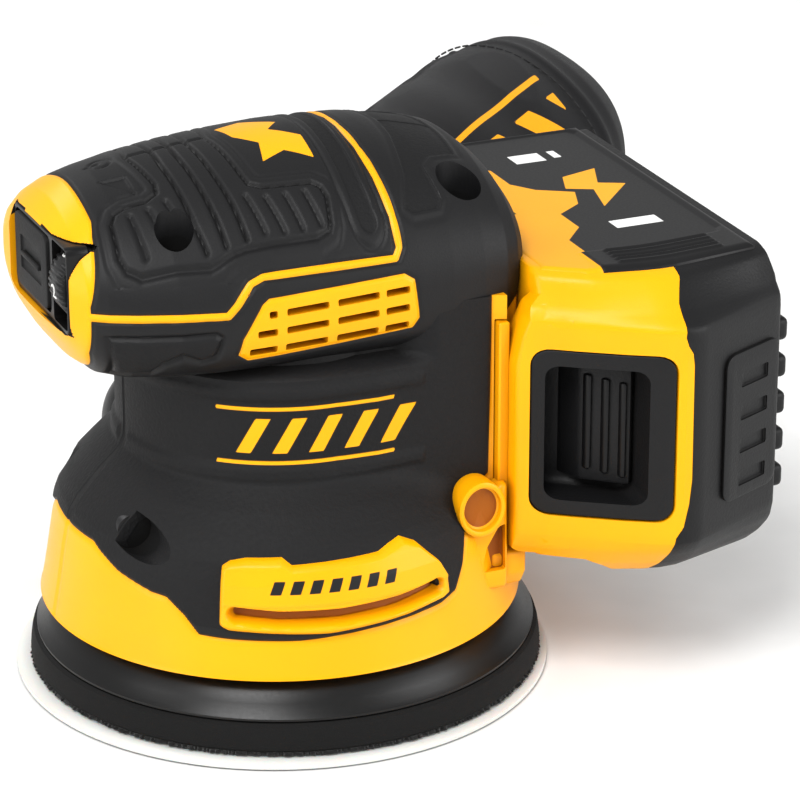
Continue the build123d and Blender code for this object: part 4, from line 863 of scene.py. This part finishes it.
def lean(mesh):
    """Draws the latch end of the pack out to a ridge at the seam."""
    where = points(mesh)
    t = np.clip((-22.0 - where[:, 1]) / 22.0, 0, 1)
    high = np.clip((104.5 - where[:, 2]) / 12.0, 0, 1) * 0.75 + 0.25
    low = np.clip((where[:, 2] - 26.0) / 14.0, 0, 1) * 0.45 + 0.55
    push = np.interp(where[:, 0], LEAN[:, 0], LEAN[:, 1])
    push = np.where(push < 0, push * high * low, push)
    where[:, 1] += push * t * t * (3 - 2 * t)
    mesh.vertices.foreach_set("co", (where * MM).ravel())
    mesh.update()
    return mesh


def sliced(mesh, axis, places):
    """Cuts a mesh into bands so that it can bend."""
    work = bmesh.new()
    work.from_mesh(mesh)
    for place in places:
        where = [0.0, 0.0, 0.0]
        where[axis] = place * MM
        facing = [0.0, 0.0, 0.0]
        facing[axis] = 1.0
        bmesh.ops.bisect_plane(work, geom=work.verts[:] + work.edges[:] + work.faces[:], plane_co=where,
                               plane_no=facing)
    work.to_mesh(mesh)
    work.free()
    return mesh


def bent(mesh):
    """The pack's lean, on a mesh cut finely enough to take it."""
    mesh = sliced(mesh, 0, np.arange(40.0, 104.0, 2.0))
    mesh = sliced(mesh, 1, (-22.0, -26.0, -30.0, -34.0, -38.0, -41.0, -44.0))
    return lean(sliced(mesh, 2, (33.0, 36.0, 40.0, 93.0, 96.0, 99.0)))


# where the yellow shell meets the black one: (x, z)
SEAM = [(77.2, 110.0), (77.0, 101.6), (74.6, 97.1), (73.6, 91.0), (74.2, 89.0), (75.4, 87.0), (75.8, 84.0),
        (76.0, 56.0), (75.4, 50.0), (74.2, 44.5), (72.6, 41.7), (72.0, 36.0), (71.2, 30.0), (71.0, 20.0)]


def make_battery():
    """The yellow and black shells of the pack, the rail and the ribs across its back."""
    front = cut(prism(PACK_OUTLINE, "X", 46.4, 80.8, 0.9, 2),
                prism(SEAM + [(120.0, 20.0), (120.0, 110.0)], "Y", -70.0, 70.0),
                prism([(40.0, 20.0), (40.0, 34.6), (56.0, 34.0), (60.0, 32.0), (64.0, 29.4), (67.0, 28.6),
                       (67.0, 20.0)], "Y", -70.0, -20.0))
    head = prism([(40.9, 36.0), (40.9, 82.0), (42.2, 89.0), (44.6, 95.6), (48.6, 100.6), (52.0, 101.4), (52.0, 34.8),
                  (43.0, 34.8)], "Y", -54.9, -46.4, 0.9, 3)
    head = combine(head, prism(PACK_OUTLINE, "X", 40.0, 60.0), "INTERSECT")
    front = cut(combine(front, head, "UNION"), prism(rounded(43.7, 72.3, 45.6, 86.6, 4.2), "Y", -60.0, -49.0),
                bevelled((46.0, -60.0, 48.6), (71.6, -36.4, 83.4), 2.0, 2))
    front = combine(bent(front), bevelled((40.4, -25.0, 44.6), (47.4, 36.8, 87.6), 0.4, 1), "UNION")
    front = combine(front, bevelled((38.5, -40.3, 40.9), (41.2, 37.0, 91.3), 0.4, 1), "UNION")
    paint(settle("pack_front", front, NYLON, "battery", ("battery_front_shell",)), dark=-1.0)

    back = [(97.0, 20.0), (99.0, 28.4), (103.8, 36.0), (104.4, 60.0), (104.4, 96.0), (101.6, 104.5), (101.0, 110.0)]
    rear = combine(prism(PACK_OUTLINE, "X", 71.0, 104.4, 0.9, 2),
                   prism([(x + 0.12, z) for x, z in SEAM] + back, "Y", -70.0, 70.0), "INTERSECT")
    for side in (-1, 1):
        panel = prism(rounded(85.4, 103.4, 47.0, 83.4, 3.0), "Y", 54.0 * side, 56.0 * side, 0.7, 2)
        near, far = sorted((55.2 * side, 60.0 * side))
        rear = cut(combine(rear, panel, "UNION"),
                   *[bevelled((90.6, near, 50.0 + 8.2 * i), (99.6, far, 53.6 + 8.2 * i), 0.3, 1) for i in range(4)])
    made = settle("pack_rear", bent(rear), BLACK_NYLON, "battery", ("battery_rear_shell",))
    paint(made, smooth=-1.0)
    bar = bevelled((-3.4, -51.0, -2.8), (3.4, 51.0, 2.8), 1.3, 3)
    ribs = scatter("pack_ribs", bar, [((104.0, 0.0, 46.5 + 9.2 * i), (0, 0, 0)) for i in range(5)], BLACK_NYLON)
    paint(settle("pack_ribs", ribs, BLACK_NYLON, "battery"), smooth=-1.0)
    make_label()
    make_release()


def make_label():
    """The top face: printed film inside a raised border, and the ribbed thumb pad."""
    xs = np.linspace(47.6, 100.2, 156)
    ys = np.linspace(-47.5, 47.5, 280)
    rows, columns = len(xs), len(ys)
    where = np.column_stack([np.repeat(xs, columns), np.tile(ys, rows)])
    x, y = where.T
    border = inside(where, [(60.6, -35.6), (60.6, -49.0), (101.0, -49.0), (101.0, 49.0), (52.0, 49.0), (52.0, 45.6),
                            (96.0, 45.6), (97.6, 43.0), (97.6, -33.0), (95.6, -35.6)])
    height = 103.75 + rise(border, 0.55, 0.8)
    for i in range(5):
        line = [(66.0, -44.6 + 1.9 * i), (91.6, -44.6 + 1.9 * i)]
        height += rise(0.5 - line_distance(where, line), 0.5, 0.5)
    edge = np.minimum.reduce([x - xs[0], xs[-1] - x, y - ys[0], ys[-1] - y])
    height -= 1.2 * np.clip(1 - edge / 2.2, 0, 1) ** 2
    height = np.where(edge < 0.2, height - 2.0, height)
    count = len(where)
    top = grid_faces(rows, columns, False)
    faces = top + [tuple(count + v for v in face[::-1]) for face in top]
    rim = [i * columns for i in range(rows)] + [(rows - 1) * columns + j for j in range(1, columns)]
    rim += [i * columns + columns - 1 for i in range(rows - 2, -1, -1)] + list(range(columns - 2, 0, -1))
    faces += [(a, b, b + count, a + count) for a, b in zip(rim, rim[1:] + rim[:1])]
    both = np.vstack([np.column_stack([where, height]), np.column_stack([where, np.full(count, 100.0)])])
    made = new_object("pack_label", both, faces, LABEL, "battery", "yellow_plastic")
    lean(made.data)
    zigzag = inside(where, [(60.0, 49.0), (62.0, 30.0), (66.0, 25.0), (66.0, 14.0), (70.0, 8.0), (78.0, 3.0),
                            (75.0, -5.0), (68.0, -10.0), (68.0, -20.0), (62.0, -27.0), (62.0, -35.0), (60.8, -49.0),
                            (110.0, -49.0), (110.0, 49.0)])
    bars = np.maximum.reduce([inside(where, [(x0, y0), (x1, y0), (x1, y1), (x0, y1)]) for x0, x1, y0, y1 in (
        (74.0, 82.0, 27.0, 33.0), (76.0, 88.0, -24.0, -19.0), (84.5, 86.5, 28.0, 33.0))])
    gold = inside(where, [(80.0, 14.0), (90.0, 17.0), (86.0, 7.0), (92.0, 4.0), (80.0, -9.0), (83.0, 3.0), (77.0, 6.0)])
    printed = inside(where, [(54.0, -6.0), (58.5, -6.0), (58.5, 18.0), (54.0, 18.0)])
    lines = np.where(np.abs(x - 56.2) < 1.2, -np.abs(printed) - 0.2, printed)
    ink = np.maximum.reduce([zigzag, border, lines])
    below = np.full(count, -1.0)
    paint(made, **{name: np.concatenate([values, below]) for name, values in
                   (("ink", ink), ("mark", bars), ("gold", gold))})


def make_release():
    """The black latch cap in the end of the pack, with its thumb ridge and ribs."""
    cap = combine(prism(rounded(44.0, 72.0, 45.9, 86.3, 3.9), "Y", -54.9, -51.0, 0.8, 3),
                  bevelled((46.2, -53.0, 48.8), (71.4, -39.6, 83.2), 1.6, 2), "UNION")
    cap = cut(cap, bevelled((46.6, -60.0, 49.6), (66.6, -42.0, 82.6), 3.0, 5))
    ridge = [(53.6, -42.4), (56.4, -46.6), (65.4, -48.4), (66.8, -46.0), (66.8, -41.0), (53.6, -41.0)]
    cap = combine(cap, prism(ridge, "Z", 52.2, 80.6, 0.7, 2), "UNION")
    paint(settle("release_cap", bent(cap), BLACK_NYLON, "release_button",
                 ("release_button", "release_latch")), smooth=-1.0)
    rib = bevelled((-0.65, -1.1, -11.8), (0.65, 1.1, 11.8), 0.6, 3)
    places = [((57.4, -46.9, 67.0), (0, 0, 0)), ((60.6, -47.5, 66.4), (0, 0, 0)), ((63.8, -48.1, 65.8), (0, 0, 0))]
    ribs = scatter("release_ribs", rib, places, BLACK_NYLON)
    made = settle("release_ribs", ribs, BLACK_NYLON, "release_button")
    lean(made.data)
    paint(made, smooth=1.0)


def make_receiver():
    """The yellow flange that the battery slides along, with its two screw bosses and their webs."""
    outline = [(-34.0, 102.6), (-32.6, 104.0), (45.0, 104.0), (46.6, 102.4), (46.6, 28.4), (44.0, 24.6), (-38.0, 24.6),
               (-40.4, 28.4), (-40.4, 34.0), (-34.0, 36.0)]
    plate = cut(prism(outline, "X", 37.0, 45.9, 0.9, 3), bevelled((30.0, -60.0, 44.0), (47.0, 38.0, 88.0), 1.0, 1),
                bevelled((38.2, -60.0, 40.3), (41.8, 38.0, 91.7), 0.2, 1))
    paint(settle("receiver_plate", plate, NYLON, "housing"), dark=-1.0)
    boss_x, boss_z, oval, sides = 32.6, 48.0, 1.16, 96
    turn = np.linspace(0, 2 * np.pi, sides, endpoint=False)
    for side, name in ((-1, "left"), (1, "right")):
        rings = []
        for y, r in ((34.0, 5.6), (43.8, 5.9), (44.7, 5.8), (45.0, 5.4), (45.0, 5.0), (44.8, 4.7), (43.6, 4.5),
                     (43.2, 4.0), (43.2, 0.3)):
            rings.append(np.column_stack([boss_x + r * np.cos(turn), np.full(sides, y * side),
                                          boss_z + oval * r * np.sin(turn)]))
        made = new_object("flange_boss_" + name, *capped(rings), NYLON, "housing", "yellow_plastic")
        x, y, z = points(made.data).T
        # painted shade: orange-brown inside the screw hole
        hole = (np.hypot(x - boss_x, (z - boss_z) / oval) < 4.4) & (np.abs(y) < 44.0)
        paint(made, dark=np.where(hole, 0.3, -1.0))
        web = [(25.6, 26.0), (26.4, 33.0), (28.6, 41.0), (31.0, 44.0), (37.4, 52.0), (40.2, 53.0), (40.4, 36.0),
               (40.4, 26.0)]
        pocket = [(33.4, 31.0), (34.6, 37.0), (37.6, 42.0), (39.4, 42.6), (39.6, 31.0)]
        web = cut(prism(web, "Y", 30.0 * side, 42.6 * side, 1.6, 3),
                  prism(pocket, "Y", 40.0 * side, 50.0 * side, 0.4, 1))
        made = settle("flange_web_" + name, web, NYLON, "housing")
        x, y, z = points(web).T
        # painted shade: orange-brown inside the pocket
        hollow = (x > 33.3) & (x < 39.7) & (z > 30.9) & (z < 42.7) & (np.abs(y) < 42.0)
        paint(made, dark=np.where(hollow, 0.3, -1.0))


# ---------------------------------------------------------------- dust bag
def make_bag():
    """The sewn bag: a full twill sock on its collar, with soft folds, a side seam and an end panel."""
    start = Vector((20.0, 68.0, 48.5))
    along = Vector((0.866, 0.445, 0.228)).normalized()
    side = along.cross(Vector((0, 0, 1))).normalized()
    up = side.cross(along).normalized()
    rows, columns = 220, 300
    turn = np.linspace(0, 2 * np.pi, columns, endpoint=False)
    s = np.concatenate([np.linspace(20.0, 112.0, rows - 40), 112.0 + 20.0 * np.sin(np.linspace(0.02, np.pi / 2, 40))])
    base = np.interp(s, [20, 27, 34, 44, 58, 76, 100, 112, 118, 124, 128, 131, 132],
                     [19.6, 20.0, 23.0, 27.6, 30.8, 32.4, 33.0, 32.6, 31.0, 27.4, 21.6, 12.0, 1.2])
    rings = []
    for here, r in zip(s, base):
        gather = np.exp(-((here - 27.0) / 9.0) ** 2)
        folds = 0.9 * gather * np.sin(turn * 22 + 0.6 * np.sin(turn * 3))
        soft = 0.8 * np.sin(turn * 2 + here * 0.05) * min(1.0, (here - 20) / 40) + 0.5 * np.sin(turn * 5 - here * 0.11)
        crease = 0.45 * np.sin(here * 0.31 + 2.0 * np.sin(turn + 0.8)) * np.clip((here - 30) / 20, 0, 1)
        seam = 0.9 * np.exp(-((np.angle(np.exp(1j * (turn - 2.2)))) * r / 1.2) ** 2)
        hem = 0.7 * np.exp(-((here - 113.0) / 1.1) ** 2)
        sag = -1.6 * np.sin(np.pi * np.clip((here - 20) / 110, 0, 1))
        radius = r + (folds + soft + crease) * min(1.0, r / 20) + seam * min(1.0, r / 20) + hem
        radius = np.minimum(radius, 33.9)
        centre = np.array(start + along * here + Vector((0, 0, sag)))
        rings.append(centre + np.outer(radius * np.cos(turn), np.array(side))
                     + np.outer(radius * np.sin(turn), np.array(up)))
    vertices, faces = capped(rings)
    made = new_object("bag_cloth", vertices, faces, TWILL, "bag", "bag_fabric", ("dust_bag",))
    layer = made.data.uv_layers.new(name="UVMap")
    loops = np.empty(len(made.data.loops), int)
    made.data.loops.foreach_get("vertex_index", loops)
    row, column = np.minimum(loops // columns, rows - 1), loops % columns
    u = column / columns * 2.07
    v = s[row] / 100.0
    layer.data.foreach_set("uv", np.column_stack([u, v]).astype(np.float32).ravel())
    where = points(made.data) - np.array(start)
    reach = where @ np.array(along)
    round_at = np.arctan2(where @ np.array(up), where @ np.array(side))
    arc = np.angle(np.exp(1j * (round_at - 0.62))) * 33
    box_edge = np.minimum(reach - 44.0, 106.0 - reach)
    lines = np.maximum(0.9 - np.abs(arc - 15.0), 0.9 - np.abs(arc + 15.0))
    blocks = np.minimum(9.0 - np.abs(arc), 3.0 - np.abs(np.mod(reach + arc * 0.6, 13.0) - 6.5))
    paint(made, print=np.minimum(np.maximum(lines, blocks), box_edge))
    stitch = bevelled((-1.1, -0.25, -0.25), (1.1, 0.25, 0.25), 0.2, 2)
    places = []
    for k in range(70):
        a = 2 * math.pi * k / 70
        r = float(np.interp(109.0, s, base)) + 0.9
        spot = start + along * 109.0 + side * (r * math.cos(a)) + up * (r * math.sin(a)) + Vector((0, 0, -0.9))
        tangent = (-side * math.sin(a) + up * math.cos(a)).normalized()
        turned = tangent.to_track_quat("X", "Z").to_euler()
        places.append((tuple(spot), tuple(turned)))
    settle("bag_stitches", scatter("bag_stitches", stitch, places, THREAD), THREAD, "bag")


make_skirt()
make_badge()
make_handle()
make_nose()
make_pad()
finish_cad()
make_battery()
make_receiver()
make_bag()


# ---------------------------------------------------------------- stage, light and camera
def area(name, place, target, size, power):
    """A soft box of light, aimed at a target."""
    lamp = bpy.data.lights.new(name, "AREA")
    lamp.shape = "RECTANGLE"
    lamp.size, lamp.size_y = size
    lamp.energy = power
    holder = bpy.data.objects.new(name, lamp)
    holder.location = place
    holder.rotation_euler = (Vector(target) - Vector(place)).to_track_quat("-Z", "Y").to_euler()
    scene.collection.objects.link(holder)


floor_mesh = bpy.data.meshes.new("floor")
floor_mesh.from_pydata([(-6, -6, 0), (6, -6, 0), (6, 6, 0), (-6, 6, 0)], [], [(0, 1, 2, 3)])
floor = bpy.data.objects.new("floor", floor_mesh)
floor.location = (0, 0, -0.0004)
scene.collection.objects.link(floor)
floor_mesh.materials.append(material("pale_floor", [(None, "f4f4f3", 0.9, 40.0, 0.0)], shine=0.0))

area("key", (-0.55, -0.55, 1.15), (0, 0, 0.07), (0.6, 0.6), 13.0)
area("fill", (0.9, -0.9, 0.5), (0.03, 0, 0.07), (0.8, 0.8), 10.5)
area("left", (-1.1, -0.2, 0.35), (0, 0, 0.07), (0.6, 0.8), 5.0)
area("back", (-0.5, 1.2, 1.1), (0, 0, 0.08), (0.6, 0.5), 5.0)
world = bpy.data.worlds.new("studio")
world.use_nodes = True
world.node_tree.nodes["Background"].inputs[0].default_value = (1.0, 1.0, 1.0, 1.0)
world.node_tree.nodes["Background"].inputs[1].default_value = 0.6
scene.world = world
scene.view_settings.view_transform = "Standard"

camera = bpy.data.objects.new("camera", bpy.data.cameras.new("camera"))
scene.collection.objects.link(camera)
right = Vector((0.917936, -0.396729, 0.0))
up = Vector((0.149663, 0.346262, 0.926123))
back = Vector((-0.367417, -0.850123, 0.377222))
turned = Matrix((right, up, back)).transposed().to_4x4()
camera.matrix_world = Matrix.Translation((-0.30851, -0.78607, 0.40757)) @ turned
camera.data.sensor_width = 36.0
camera.data.lens = 174.79
camera.data.clip_start = 0.05
camera.data.clip_end = 20.0
scene.camera = camera
